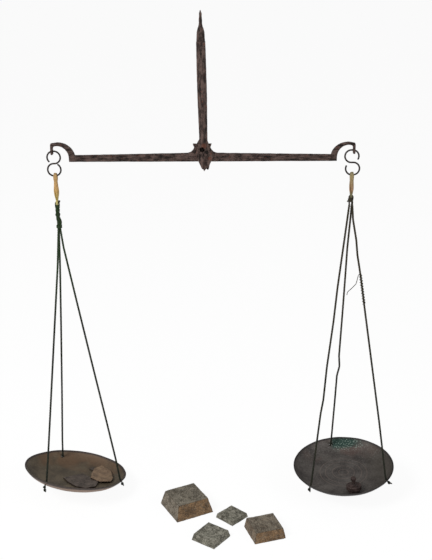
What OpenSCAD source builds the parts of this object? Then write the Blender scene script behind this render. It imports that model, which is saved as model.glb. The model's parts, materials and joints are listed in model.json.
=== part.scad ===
// Equal-arm hand balance: forged iron shears and beam, wire S hooks, leather thongs,
// corded brass pans, and the weights that lie in the pans and stand beside them.
// The origin is the centre of the suspension eye, X runs along the beam, Y runs away
// from the reader and Z is up. All sizes are in millimetres.

/* [Shears] */
// Drop from the suspension eye to the line of the knife edge
pivot_drop = 131.2; // [126:0.2:150]
// Height of the pointed tip above the suspension eye
spike_tip = 4; // [3:0.5:6]
// Bore radius of the suspension eye
eye_bore_r = 0.75; // [0.6:0.05:0.9]
// Thickness of the flattened suspension eye, along its bore
eye_thick = 2.6; // [2:0.1:2.8]
// Outside radius of the flattened suspension eye
eye_lug_r = 1.5; // [1.4:0.05:2]
// Turn of the square spike about its own length
spike_turn = 25; // [10:1:35]
// Drop from the suspension eye to the underside of the solid head
head_drop = 25; // [22:0.5:28]
// Width of the solid head where the cheeks begin
head_w = 8.1; // [7.4:0.1:8.8]
// Depth of the tongue that reaches down between the cheeks
tongue_len = 10; // [6:0.5:14]
// Width of each cheek at its middle
cheek_w = 9.1; // [8.4:0.1:9.8]
// Width of each cheek just above its leaf
cheek_foot_w = 7.9; // [7:0.1:8.6]
// Lean of the two straps to the right, in degrees
strap_lean = 0.75; // [0:0.05:0.9]
// Thickness of each cheek along its middle ridge
cheek_thick = 3.1; // [2.6:0.1:3.6]
// Thickness of each cheek along its two edges
cheek_edge = 1; // [0.6:0.1:1.6]
// Width of the flat along the ridge of a cheek
ridge_w = 1.8; // [1:0.1:2.6]
// Free width between the two cheeks
cheek_gap = 5.2; // [5:0.1:6.4]
// Widest part of the leaf at the foot of a cheek
leaf_w = 19.6; // [17:0.2:22]
// Length of the front leaf below the knife edge
leaf_drop_front = 19.6; // [18:0.2:23]
// Length of the rear leaf below the knife edge
leaf_drop_rear = 19; // [18:0.2:21]
// Sideways run of the worn end of the front leaf
leaf_lean_front = 2.5; // [0:0.1:3]
// Sideways run of the worn end of the rear leaf
leaf_lean_rear = 0.3; // [0:0.1:3]
// Radius of the bearing hole in each cheek
bearing_r = 2.4; // [2.2:0.05:2.8]

/* [Beam] */
// Distance between the two suspension eyes of the beam
eye_span = 299.8; // [290:0.2:310]
// Height of the beam's eyes above the knife edge
eye_rise = 0.2; // [-0.4:0.1:0.8]
// Distance from each square end of the bar to the eye beyond it
neck_span = 16.8; // [15.6:0.1:19]
// Height of the bar's underside below the knife edge
bar_under = 10.4; // [9.4:0.1:11.4]
// Height of the bar at its ends
bar_end_h = 6.4; // [6:0.1:7.2]
// Height of the bar beside the crest
bar_mid_h = 8.1; // [7.6:0.1:8.8]
// Thickness of the beam at the middle
beam_thick = 4.4; // [3.8:0.1:4.6]
// Thickness of the beam at the root of the necks
neck_side = 3.5; // [3:0.1:4]
// Height of the left neck above the knife edge
neck_rise_left = 9; // [8.4:0.1:9.8]
// Height of the right neck above the knife edge
neck_rise_right = 8.4; // [8:0.1:9.2]
// Height of the hollow under each neck above the knife edge
neck_hollow = 5.6; // [5.2:0.1:6]
// Reach of the neck's outer curve, from its root to its top
neck_reach = 17.2; // [16:0.1:18]
// Reach of the hollow under the neck
hollow_reach = 11.4; // [10.6:0.1:12]
// Thickness of the hanging tip along the beam
tip_thick = 2.4; // [2.2:0.1:2.8]
// Width of the hanging tip across the beam
tip_w = 5.3; // [5.2:0.1:6]
// Length of the hanging tip below its eye
tip_below = 3.8; // [3.4:0.1:4.2]
// Radius of the eye at its narrow middle
eye_throat_r = 1.3; // [1.25:0.05:1.4]
// Radius of the eye at its flared mouths
eye_mouth_r = 1.95; // [1.9:0.05:2]
// Height of the crest above the knife edge
crest_h = 7.2; // [6.4:0.2:8]
// Width of the crest across the tips of its horns
crest_w = 18.8; // [17:0.2:20]
// Width of the crest at its foot
crest_foot_w = 29; // [26:0.2:32]

/* [Knife edge and pointer] */
// Height of the knife edge prism
knife_h = 3; // [2.6:0.1:3.2]
// Width of the knife edge prism
knife_w = 1.9; // [1.5:0.1:2.2]
// Length of the knife edge across both cheeks
knife_len = 12; // [11.5:0.1:14]
// Height of the pointer's tip above the knife edge
pointer_h = 90; // [80:1:92]
// Width of the pointer at the crest
pointer_w = 4; // [3:0.1:5]
// Width of the pointer at its tip
pointer_tip_w = 0.8; // [0.6:0.1:1.2]
// Thickness of the pointer
pointer_thick = 1.4; // [1:0.1:2]
// Depth of the pointer's tenon in the crest
tenon_depth = 3; // [2:0.1:3.6]

/* [Hooks] */
// Radius of the hook wire
wire_r = 0.85; // [0.75:0.05:0.9]
// Radius of the hook's two rings, to the middle of the wire
ring_r = 6.25; // [5.8:0.05:6.8]
// Distance of the line that each thong hangs on, inwards of the beam's eye
hang_shift = 1.4; // [1.1:0.1:1.6]
// Distance that the left hook's upper ring hangs inwards of the beam's eye
upper_shift_left = 1.5; // [1.2:0.1:1.9]
// Distance that the right hook's upper ring hangs inwards of the beam's eye
upper_shift_right = 2; // [1.4:0.1:2.2]
// Distance that the left hook's lower ring hangs inwards of the beam's eye
lower_shift_left = 1.4; // [1:0.1:1.8]
// Distance that the right hook's lower ring hangs inwards of the beam's eye
lower_shift_right = 1; // [0.8:0.1:1.6]
// Length of the straight wire at the top and the foot of the left hook
flat_left = 0.7; // [0.5:0.1:1.2]
// Length of the straight wire at the top and the foot of the right hook
flat_right = 1.2; // [0.6:0.1:1.4]

/* [Thongs] */
// Length of the left thong, from the hook wire to its lower eye
thong_len_left = 27; // [24:0.5:32]
// Length of the right thong, from the hook wire to its lower eye
thong_len_right = 21; // [18:0.5:26]
// Thickness of the leather strap round the hook
strap_thick = 1.2; // [0.9:0.1:1.5]
// Width of the leather strap round the hook
strap_w = 4.2; // [3.4:0.1:4.6]
// Thickness of each of the two strips that are twisted together
strip_thick = 1.8; // [1.4:0.1:2.1]
// Turn of the twisted strips from top to bottom
strip_twist = 90; // [60:5:120]
// Radius of the leather round the lower eye
loop_tube_r = 0.9; // [0.8:0.05:1]
// Radius of the lower eye, to the middle of its leather
loop_r = 1.9; // [1.8:0.05:2.2]

/* [Cords] */
// Radius of the pan cords
cord_r = 0.85; // [0.65:0.05:0.9]
// Radius of the cord loop that hangs in the thong's eye
head_loop_r = 0.65; // [0.5:0.05:0.7]
// Length of the bound bundle above the left cords
bundle_len = 28; // [25:0.5:31]
// Sideways run of the bound bundle from its top to its foot
bundle_lean = 1; // [0:0.1:1.2]
// Thickness of the bound bundle
bundle_r = 2.2; // [2:0.1:2.4]
// Length of the knot above the right cords
knot_len = 10; // [8:0.5:11]
// Distance of each cord from the middle of the knot that it leaves
cord_spread = 1.1; // [1.05:0.05:1.2]
// Radius of the knot on the end of each cord
end_knot_r = 1.9; // [1.6:0.1:2.1]
// Radius of the thread of the repair lashing
lash_r = 0.45; // [0.35:0.05:0.55]
// Turns in the repair lashing
lash_turns = 11; // [8:1:14]
// Share of the cord's length at which the lashing starts
lash_from = 0.238; // [0.2:0.001:0.3]
// Share of the cord's length at which the lashing ends
lash_to = 0.345; // [0.33:0.001:0.4]

/* [Pans] */
// Radius of the left pan at its rim
pan_r_left = 55.6; // [53:0.2:58]
// Radius of the right pan at its rim
pan_r_right = 54.2; // [52:0.2:57]
// Depth of each pan
pan_depth = 10.4; // [9.6:0.2:11.6]
// Radius of the flat floor of each pan
floor_r = 35; // [34:0.5:37]
// Wall of the left pan
pan_wall_left = 0.85; // [0.7:0.001:1.2]
// Wall of the right pan
pan_wall_right = 0.95; // [0.7:0.001:1.2]
// Radius of the cord holes
hole_r = 1.3; // [1.2:0.05:1.5]
// Height of the left cords, from the knot to the middle of the rim
cord_drop_left = 279.5; // [270:0.5:290]
// Height of the right cords, from the knot to the middle of the rim
cord_drop_right = 297.5; // [290:0.5:308]

// Shift of the left pan's middle to the right of its hanging line
pan_left_x = 1.9; // [-1:0.1:3]
// Shift of the left pan's middle to the rear of its hanging line
pan_left_y = -0.4; // [-2:0.1:2]
// Shift of the right pan's middle to the right of its hanging line
pan_right_x = 2.5; // [0:0.1:4]
// Shift of the right pan's middle to the rear of its hanging line
pan_right_y = 0.9; // [-1:0.1:2]

/* [Loads in the pans] */
// Thickness of the large grey sheet
grey_thick = 1.6; // [1.2:0.1:2]
// Thickness of the tan sheet
tan_thick = 1.2; // [0.9:0.1:1.5]
// Slope at which the tan sheet rests
tan_tilt = 2.2; // [1.8:0.1:3]
// Thickness of the small clipping
clip_thick = 0.8; // [0.6:0.1:1.2]
// Slope at which the small clipping rests
clip_tilt = 4; // [3:0.5:6]
// Radius of the knobbed weight's disc
disc_r = 8.3; // [7.8:0.1:9]
// Height of the knobbed weight's disc
disc_h = 7.2; // [6.4:0.1:8.2]
// Radius of the knobbed weight's foot
foot_r = 6.7; // [6:0.1:7.4]
// Radius of the knob
knob_r = 2.9; // [2.6:0.1:3.6]
// Height of the knob and its neck above the disc
knob_h = 10; // [9:0.2:11]
// Distance of the knobbed weight's middle beyond the pan's flat floor
knob_out = 3.1; // [2:0.1:4]
// Bearing of the knobbed weight round the pan
knob_bearing = -78; // [-90:1:-66]

/* [Block weights] */
// Base of the large block weight
large_base = 43; // [40:0.5:46]
// Height of the large block weight
large_h = 16.6; // [14:0.2:18]
// Base of the medium block weight
medium_base = 34; // [32:0.5:36]
// Height of the medium block weight
medium_h = 11.6; // [10:0.1:13]
// Base of the thin block weight
thin_base = 24.5; // [23:0.1:26]
// Height of the thin block weight
thin_h = 4.8; // [4:0.1:6]
// Base of the small block weight
small_base = 29; // [27:0.2:30]
// Height of the small block weight
small_h = 7.4; // [6.6:0.1:9]
// Place of the large block weight to the right of the balance's middle
large_x = -21.2; // [-30:0.1:-19]
// Place of the large block weight to the rear of the balance's middle
large_y = -37.3; // [-40:0.1:-20]
// Turn of the large block weight
large_turn = 28.8; // [20:0.1:35]
// Place of the medium block weight to the right of the balance's middle
medium_x = 62.6; // [60:0.1:75]
// Place of the medium block weight to the rear of the balance's middle
medium_y = -83.2; // [-95:0.1:-80]
// Turn of the medium block weight
medium_turn = 19.4; // [10:0.1:30]
// Place of the thin block weight to the right of the balance's middle
thin_x = 28.1; // [26:0.1:31]
// Place of the thin block weight to the rear of the balance's middle
thin_y = -55.3; // [-57:0.1:-50]
// Turn of the thin block weight
thin_turn = 47.6; // [40:0.1:55]
// Place of the small block weight to the right of the balance's middle
small_x = 7.1; // [0:0.1:9]
// Place of the small block weight to the rear of the balance's middle
small_y = -93.6; // [-100:0.1:-91]
// Turn of the small block weight
small_turn = 55.3; // [45:0.1:65]
// Drop from the suspension eye to the surface that the block weights stand on
table_drop = 516.6; // [510:0.2:526]
// Height of the raised figures on the block weights
relief_h = 0.6; // [0.3:0.1:1]

/* [Fits] */
// Gap between a hanging or resting piece and its seat
seat_gap = 0.3; // [0.25:0.05:0.4]
// Clearance round the knife edge and the pointer where the beam holds them
fit_gap = 0.03; // [0.02:0.01:0.06]

/* [Hidden] */

// Colours of the finishes
IRON = [0.24, 0.2, 0.18];
IRON_DARK = [0.16, 0.14, 0.13];
LEATHER_TAN = [0.74, 0.58, 0.34];
LEATHER_OLIVE = [0.52, 0.45, 0.3];
CORD_GREEN = [0.2, 0.27, 0.2];
CORD_OLIVE = [0.3, 0.29, 0.22];
PAN_BROWN = [0.4, 0.33, 0.27];
PAN_DARK = [0.29, 0.27, 0.26];
LEAD_GREY = [0.32, 0.31, 0.31];
SHEET_TAN = [0.5, 0.41, 0.32];
BRONZE = [0.43, 0.37, 0.28];

// Steps of a full circle on turned and drilled forms
$fn = 48;
// Overlap that lets two solids of one piece join
bite = 0.05;
// Overlap of a straight and a bent stretch of wire, and how much thicker the straight one is
weld_len = 0.5;
weld_grow = 0.06;
// Length that takes a cut safely past the faces it goes through
past = 60;

// Half sizes and levels that several pieces share
eye_x = eye_span / 2;
bar_half = eye_x - neck_span;
gap_half = cheek_gap / 2;
leaf_half = leaf_w / 2;
head_half = head_w / 2;
bearing_z = bearing_r - seat_gap;
wire_z = eye_rise - eye_throat_r + seat_gap + wire_r;
hang_x = eye_x - hang_shift;
hook_z = -pivot_drop + wire_z;
// Each hook as one list: shift of its upper ring, shift of its lower ring, straight length
hook_form_left = [upper_shift_left, lower_shift_left, flat_left];
hook_form_right = [upper_shift_right, lower_shift_right, flat_right];
// Angles at which each hook's wire starts in its upper ring and ends in its lower ring
hook_ends_left = [-44, 123];
hook_ends_right = [-29, 153];
// Drop from the wire in the beam's eye to the middle of the upper ring
function ring_drop(form) = sqrt(pow(ring_r, 2) - pow(form[0] - form[2] / 2, 2));
thong_z_left = hook_z - ring_drop(hook_form_left) - 3 * ring_r;
thong_z_right = hook_z - ring_drop(hook_form_right) - 3 * ring_r;
loop_z_left = thong_z_left - thong_len_left;
loop_z_right = thong_z_right - thong_len_right;
cord_z_left = loop_z_left - bundle_len;
cord_z_right = loop_z_right - knot_len;

// Inner radius of the strap, which clears the wire although the ring curves up beside it
strap_in = wire_r + 0.5;
// Radius of the cord loop, to the middle of its cord, round the leather of the eye
head_bend = loop_r;

// Lean of each pan as it hangs: turn about X, turn about Y
lean_left = [-10.2, 8.8];
lean_right = [4.3, -2.5];
// Middle of each pan's rim, beside the line that its thong hangs on
pan_at_left = [-hang_x + pan_left_x, pan_left_y, cord_z_left - cord_drop_left];
pan_at_right = [hang_x + pan_right_x, pan_right_y, cord_z_right - cord_drop_right];
// Each pan as one list: radius at the rim, wall, lean, and the middle of its rim
form_left = [pan_r_left, pan_wall_left, lean_left, pan_at_left];
form_right = [pan_r_right, pan_wall_right, lean_right, pan_at_right];
// Cord holes at the front, the rear and the side: bearing round the pan, distance from the rim
holes_left = [[-120, 6.5], [115, 7.5], [-11, 4]];
holes_right = [[-140, 6], [102, 7.5], [-32, 4]];

// Small bends of each cord off its straight line: share of its length, offset in X, in Y
bends_left_front = [[0.14, 0.9, 0], [0.4, 0.7, 0.2], [0.7, 0.5, 0.1], [0.9, 0.3, 0]];
bends_left_rear = [[0.15, 0.4, 0.2], [0.4, 0.4, 0.3], [0.7, 0.2, 0.2], [0.92, -0.3, 0]];
bends_left_side = [[0.07, -1.2, 0], [0.28, -1, 0.1], [0.5, -0.5, 0.2], [0.76, 0.3, 0], [0.93, 0.6, 0]];
bends_right_front = [
    [0.05, -0.6, 0], [0.28, -1, 0.2], [0.4, -0.3, 0.2], [0.56, -0.6, 0.2],
    [0.68, 0.5, 0.4], [0.73, -0.4, 0.1]
];
bends_right_rear = [
    [0.05, 0.9, 0], [0.16, 0.4, 0], [0.3, 0.8, 0.2], [0.42, 1, 0.2], [0.6, 1.1, 0.2],
    [0.645, 2.5, 0.4], [0.685, 0.5, 0.2], [0.8, 0.4, 0.1]
];
bends_right_side = [
    [0.05, -0.6, 0], [0.12, 0.2, 0], [0.17, -0.5, 0], [lash_from, 0, 0], [lash_to, 0, 0],
    [0.78, 0.6, 0.1]
];
// The loose tail of the lashing, from its tip to its first turn
lash_tail = [[-13.2, -2, -22.2], [-12.6, -1.9, -18.9], [-8.6, -1.4, -15.3], [-4.3, -1.6, -10.4],
    [-3.7, -1.8, -8.2], [-2.8, -1.7, -4], [-2.2, -1.4, -1.2]];

// Slope of a pan's wall at its rim, and the radius of the wall's curve
function wall_slope(pan) = 2 * atan(pan_depth / (pan[0] - floor_r));
function wall_r(pan) = (pan[0] - floor_r) / sin(wall_slope(pan));
// Slope of the wall at a cord hole
function hole_slope(pan, hole) = wall_slope(pan) - hole[1] / wall_r(pan) * 180 / PI;
// The middle of the wall at a cord hole, moved outwards by some distance
function hole_point(pan, hole, out) =
    let (
        slope = hole_slope(pan, hole),
        depth_r = wall_r(pan) + pan[1] / 2 + out,
        r = floor_r + depth_r * sin(slope)
    )
    [r * cos(hole[0]), r * sin(hole[0]), wall_r(pan) - pan_depth - depth_r * cos(slope)];
// The same point in the frame of the whole balance, with the pan's lean
function hole_in(pan, hole, out) =
    let (
        p = hole_point(pan, hole, out),
        a = pan[2][0],
        b = pan[2][1],
        y = p[1] * cos(a) - p[2] * sin(a),
        z = p[1] * sin(a) + p[2] * cos(a)
    )
    pan[3] + [p[0] * cos(b) + z * sin(b), y, z * cos(b) - p[0] * sin(b)];

// Steps from the straight line between two points to a bent route
function bent(a, b, bends) = [for (w = bends) a + w[0] * (b - a) + [w[1], w[2], 0]];
function unit(v) = v / norm(v);
function heading(p, i) =
    i == 0 ? unit(p[1] - p[0]) : unit(p[min(i + 1, len(p) - 1)] - p[i - 1]);
function ring_of(c, t, r, sides, side_on) =
    let (
        u = unit(cross(side_on, t)),
        v = cross(t, u)
    )
    [for (k = [0:sides - 1]) c + r * (cos(360 * k / sides) * u + sin(360 * k / sides) * v)];

// A solid skinned over rings of points that run anticlockwise as seen from the last ring
module skinned(rings) {
    n = len(rings);
    sides = len(rings[0]);
    walls = [
        for (i = [0:n - 2], k = [0:sides - 1])
            let (
                a = i * sides + k,
                b = i * sides + (k + 1) % sides
            )
            each [[a, a + sides, b], [b, a + sides, b + sides]]
    ];
    first_cap = [for (k = [1:sides - 2]) [0, k, k + 1]];
    last = (n - 1) * sides;
    last_cap = [for (k = [1:sides - 2]) [last, last + k + 1, last + k]];
    polyhedron(points = [for (r = rings) each r], faces = concat(walls, first_cap, last_cap));
}

// A tube of changing radius along a route; side_on is never in line with the route
module tube(route, radii, sides, side_on, first_heading) {
    skinned([
        for (i = [0:len(route) - 1])
            let (t = i == 0 && first_heading != undef ? first_heading : heading(route, i))
            ring_of(route[i], t, radii[i], sides, side_on)
    ]);
}

// A bar whose outline is seen from the front
module front_cut(from_y, to_y) {
    translate([0, to_y, 0]) rotate([90, 0, 0]) linear_extrude(to_y - from_y) children();
}

// A bar whose outline is seen from the right, with Y drawn along X
module side_cut(from_x, to_x) {
    translate([from_x, 0, 0]) rotate([90, 0, 90]) linear_extrude(to_x - from_x) children();
}

// An outline that is the same on both sides of its middle, from half widths and heights
module even_outline(half) {
    n = len(half);
    polygon([for (i = [0:2 * n - 1]) i < n ? half[i] : [-half[2 * n - 1 - i][0], half[2 * n - 1 - i][1]]]);
}

// Half width of the spike's silhouette at heights below and above the suspension eye
spike_half = [[4.05, -17], [3.5, -15.4], [2.75, -13], [2.1, -10.6], [1.72, -8], [1.78, -5.4],
    [1.5, -2.6], [1.35, 0], [0.85, spike_tip - 1.3], [0.25, spike_tip]];
// Share of the silhouette that the side of the turned square takes
spike_share = 1 / (sqrt(2) * cos(45 - spike_turn));

module shears_head() {
    narrow = [for (s = spike_half) [s[0] * spike_share, s[1]]];
    block_front = [[head_half, -head_drop], [head_half - 0.2, -19], [3.5, -15.8], [2.6, -12.4]];
    block_side = [[gap_half + cheek_thick, -head_drop], [gap_half + 2.6, -20.5],
        [3.9, -16.2], [2.2, -12.4]];
    color(IRON) difference() {
        union() {
            // Square spike, turned about its length and flattened round the eye
            intersection() {
                rotate([0, 0, spike_turn]) intersection() {
                    front_cut(-past, past) even_outline(narrow);
                    side_cut(-past, past) even_outline(narrow);
                }
                union() {
                    translate([-past, -past, -past]) cube([2 * past, 2 * past, past - eye_lug_r - 1]);
                    translate([-eye_thick / 2, -past, -past]) cube([eye_thick, 2 * past, 2 * past]);
                }
            }
            // Flattened eye
            side_cut(-eye_thick / 2, eye_thick / 2) circle(eye_lug_r);
            // Solid head, ridged off its middle on both faces
            intersection() {
                front_cut(-past, past) even_outline(block_front);
                side_cut(-past, past) even_outline(block_side);
                translate([0, 0, -past]) linear_extrude(past) polygon([
                    [-head_half, -1.5], [1.2, -gap_half - cheek_thick], [head_half, -2.2],
                    [head_half, 1.5], [-1.2, gap_half + cheek_thick], [-head_half, 2.2]
                ]);
            }
            // Tongue that holds the cheeks apart
            translate([-head_half + 0.8, -gap_half, -head_drop - tongue_len])
                cube([head_w - 1.6, cheek_gap, tongue_len + 1]);
        }
        side_cut(-past, past) circle(eye_bore_r);
    }
}

// Right edge of each leaf from the strap down, from half widths and heights above the knife edge
leaf_edge_front = [[cheek_foot_w / 2 - 0.9, 13.6], [cheek_foot_w / 2 + 0.6, 9.4],
    [cheek_foot_w / 2 + 2.2, 4.4], [leaf_half - 0.9, -2.2], [leaf_half - 1, -5.2],
    [leaf_half - 3.2, -9.2], [leaf_half - 4.9, -12.9]];
leaf_edge_rear = [[cheek_foot_w / 2 - 0.9, 13], [cheek_foot_w / 2 + 1.4, 7.5],
    [cheek_foot_w / 2 + 3.8, 2.6], [leaf_half - 1.6, -2], [leaf_half - 2.8, -6],
    [leaf_half - 5.2, -11], [leaf_half - 7, -15]];
// Worn end of each leaf, from its right to its left, with heights above its longest tooth
leaf_teeth_front = [[4, 2.6], [3, 1.1], [1.4, 2.6], [-0.8, 0], [-1.8, 2.3], [-2.9, 2.2], [-3.7, 4]];
leaf_teeth_rear = [[1.9, 2.6], [1, 1.4], [0.2, 2.6], [-1.1, 0], [-1.9, 2]];
// Height over which each leaf takes its sideways run
leaf_run_front = 22;
leaf_run_rear = 4;
// Step by which a leaf's inner face lies behind its strap's
leaf_step = 0.12;
// Sideways run of the straps at their foot
strap_run = (pivot_drop - head_drop - 12.4) * sin(strap_lean);

// One cheek: a ridged strap that ends in a leaf; side is -1 for the front one
module cheek(side, leaf_edge, leaf_teeth, leaf_drop, leaf_lean, leaf_run) {
    inner = gap_half;
    outer = gap_half + cheek_thick;
    strap_foot = -pivot_drop + 5.2;
    leaf_out = leaf_half + leaf_lean;
    outline = concat(
        leaf_edge,
        [for (t = leaf_teeth) [t[0], t[1] - leaf_drop]],
        [for (i = [len(leaf_edge) - 1:-1:0]) [-leaf_edge[i][0], leaf_edge[i][1]]]
    );
    color(IRON) mirror([0, side < 0 ? 1 : 0, 0]) difference() {
        union() {
            // Ridged strap, narrower at its head and its foot, cut flat under the head
            intersection() {
                translate([0, 0, -head_drop]) rotate([0, -strap_lean, 0]) translate([0, 0, head_drop])
                    intersection() {
                        translate([0, 0, strap_foot]) linear_extrude(1 - head_drop - strap_foot) polygon([
                            [-cheek_w / 2, inner], [cheek_w / 2, inner], [cheek_w / 2, inner + cheek_edge],
                            [ridge_w / 2, outer], [-ridge_w / 2, outer], [-cheek_w / 2, inner + cheek_edge]
                        ]);
                        front_cut(-past, past) even_outline([
                            [cheek_foot_w / 2, strap_foot], [cheek_foot_w / 2, 14 - pivot_drop],
                            [cheek_w / 2, -0.6 * pivot_drop], [cheek_w / 2, -0.4 * pivot_drop],
                            [head_half + 0.25, 1 - head_drop]
                        ]);
                    }
                translate([-past, -past, -head_drop - 3 * past]) cube([2 * past, 2 * past, 3 * past]);
            }
            // Leaf, with its ridge running on down the middle
            intersection() {
                translate([0, 0, -pivot_drop]) front_cut(inner + leaf_step, past) polygon([
                    for (p = outline)
                        let (share = max(0, min(1, (leaf_edge[0][1] - p[1]) / leaf_run)))
                        [p[0] + strap_run + share * (leaf_lean - strap_run), p[1]]
                ]);
                translate([0, 0, -pivot_drop - past]) linear_extrude(2 * past) polygon([
                    [-leaf_out, inner - 1], [leaf_out, inner - 1], [leaf_out, inner + 0.8],
                    [strap_run + ridge_w / 2, outer - 0.2], [strap_run - ridge_w / 2, outer - 0.2],
                    [-leaf_out, inner + 0.8]
                ]);
            }
        }
        translate([0, 0, bearing_z - pivot_drop]) rotate([90, 0, 0])
            cylinder(r = bearing_r, h = past, center = true);
    }
}

module shears_front_cheek() {
    cheek(-1, leaf_edge_front, leaf_teeth_front, leaf_drop_front, leaf_lean_front, leaf_run_front);
}

module shears_rear_cheek() {
    cheek(1, leaf_edge_rear, leaf_teeth_rear, leaf_drop_rear, leaf_lean_rear, leaf_run_rear);
}

// Section of the knife edge, grown all round by a clearance; its edge is at the origin
module knife_section(grow) {
    w = knife_w / 2 + grow;
    polygon([
        [0, -2 * grow], [w, 0.6 * knife_h], [0.55 * w, knife_h + grow],
        [-0.55 * w, knife_h + grow], [-w, 0.6 * knife_h]
    ]);
}

module knife_edge() {
    color(IRON_DARK) translate([0, 0, -pivot_drop])
        front_cut(-knife_len / 2, knife_len / 2) knife_section(0);
}

// The pointer's outline, from its tenon to its tip
module pointer_outline(grow) {
    foot = crest_h - tenon_depth;
    polygon([
        [-pointer_w / 2 - grow, foot - grow], [pointer_w / 2 + grow, foot - grow],
        [pointer_w / 2 + grow, crest_h + 3], [pointer_tip_w / 2, pointer_h - 1.5],
        [0, pointer_h], [-pointer_tip_w / 2, pointer_h - 1.5], [-pointer_w / 2 - grow, crest_h + 3]
    ]);
}

module pointer() {
    color(IRON_DARK) translate([0, 0, -pivot_drop])
        front_cut(-pointer_thick / 2, pointer_thick / 2) pointer_outline(0);
}

// Points of a quarter turn of an ellipse, from its side to its top
function quarter(cx, cz, rx, rz, steps) =
    [for (i = [0:steps]) [cx - rx * cos(90 * i / steps), cz + rz * sin(90 * i / steps)]];

// Outline of one arm on the right of the middle: half of the bar, and its neck and tip
module arm_outline(rise) {
    end = bar_half;
    bar_top = bar_end_h - bar_under;
    neck_z = 4 - bar_under;
    tip_out = eye_x + tip_thick / 2;
    tip_in = eye_x - tip_thick / 2;
    neck_h = rise - neck_z;
    foot_x = end + 11 - neck_reach * cos(asin((bar_top - neck_z) / neck_h));
    outer = quarter(end + 11, neck_z, neck_reach, neck_h, 10);
    hollow = quarter(end + 11.4, neck_z, hollow_reach, neck_hollow - neck_z, 10);
    polygon(concat(
        [[-bite, bar_mid_h - bar_under], [crest_foot_w / 2 + 0.6, bar_mid_h - bar_under],
            [end - 8, bar_top], [foot_x, bar_top]],
        [for (p = outer) if (p[1] > bar_top + 1) p],
        [[tip_out - 0.4, rise - 1.1], [tip_out, rise - 2.6], [tip_out, eye_rise - tip_below + 0.9],
            [tip_out - 0.7, eye_rise - tip_below], [tip_in + 0.7, eye_rise - tip_below],
            [tip_in, eye_rise - tip_below + 0.9], [tip_in, neck_hollow - 2.4],
            [tip_in - 1.2, neck_hollow - 0.5]],
        [for (i = [len(hollow) - 1:-1:0]) hollow[i]],
        [[end, -bar_under], [-bite, -bar_under]]
    ));
}

// Outline of the crest between the arms, with its two horns
module crest_outline() {
    half = crest_w / 2;
    foot = crest_foot_w / 2;
    top = bar_mid_h - bar_under;
    even_outline([
        [foot, top - 1], [foot, top], [half + 1.8, top + 1.2], [half - 0.2, top + 3.4],
        [half - 1.4, top + 5.8], [half, crest_h], [half - 3.2, crest_h - 0.2]
    ]);
}

// One arm of the beam, thinned towards its neck and pierced at its tip
module arm(rise) {
    thick_end = crest_foot_w / 2 + 1.5;
    tip_in = eye_x - tip_thick / 2;
    tip_half = tip_w / 2;
    difference() {
        intersection() {
            front_cut(-past, past) arm_outline(rise);
            // Thickness along the arm
            translate([0, 0, -past]) linear_extrude(2 * past) polygon([
                [-bite, -beam_thick / 2], [thick_end, -beam_thick / 2], [bar_half, -neck_side / 2],
                [eye_x - 5.5, -neck_side / 2], [tip_in, -tip_half], [eye_x + 5, -tip_half],
                [eye_x + 5, tip_half], [tip_in, tip_half], [eye_x - 5.5, neck_side / 2],
                [bar_half, neck_side / 2], [thick_end, beam_thick / 2], [-bite, beam_thick / 2]
            ]);
            // Rounded end of the flattened tip, seen along the beam
            union() {
                translate([-past, -past, -past]) cube([past + tip_in - 3, 2 * past, 2 * past]);
                side_cut(tip_in - 3 - bite, past + eye_x) even_outline([
                    [1.5, eye_rise - tip_below], [2.3, eye_rise - tip_below + 0.6],
                    [tip_half, eye_rise - 1.6], [tip_half, eye_rise + 1.6],
                    [neck_side / 2 + 0.3, eye_rise + 4.8], [neck_side / 2, rise + 1]
                ]);
            }
        }
        // Eye with a narrow throat and flared mouths, bored along the beam
        translate([eye_x, 0, eye_rise]) rotate([0, 90, 0]) {
            cylinder(r = eye_throat_r, h = 3 * tip_thick, center = true);
            for (s = [0, 180])
                rotate([s, 0, 0]) translate([0, 0, 0.3]) cylinder(
                    r1 = eye_throat_r,
                    r2 = eye_throat_r + 2 * (eye_mouth_r - eye_throat_r),
                    h = tip_thick - 0.6
                );
        }
    }
}

module beam() {
    color(IRON) translate([0, 0, -pivot_drop]) difference() {
        union() {
            arm(neck_rise_right);
            mirror([1, 0, 0]) arm(neck_rise_left);
            front_cut(-beam_thick / 2, beam_thick / 2) crest_outline();
        }
        front_cut(-past, past) knife_section(fit_gap);
        front_cut(-pointer_thick / 2 - fit_gap, pointer_thick / 2 + fit_gap) pointer_outline(fit_gap);
    }
}

// A stretch of a wire ring in the plane of the beam, from one angle to the next
module wire_arc(from, to) {
    rotate([90, 0, 0]) rotate([0, 0, from]) rotate_extrude(angle = to - from)
        translate([ring_r, 0]) circle(wire_r, $fn = 24);
}

// Blunt end of the wire, domed over its cut face
module wire_end(angle) {
    translate([ring_r * cos(angle), 0, ring_r * sin(angle)]) sphere(0.8 * wire_r, $fn = 24);
}

// A straight stretch of wire between two places at the same height; it is a hair thicker
// than the rings, so that it closes round the start of each ring
module wire_flat(from_x, to_x, z) {
    translate([from_x - weld_len, 0, z]) rotate([0, 90, 0])
        cylinder(r = wire_r + weld_grow, h = to_x - from_x + 2 * weld_len, $fn = 24);
}

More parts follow.
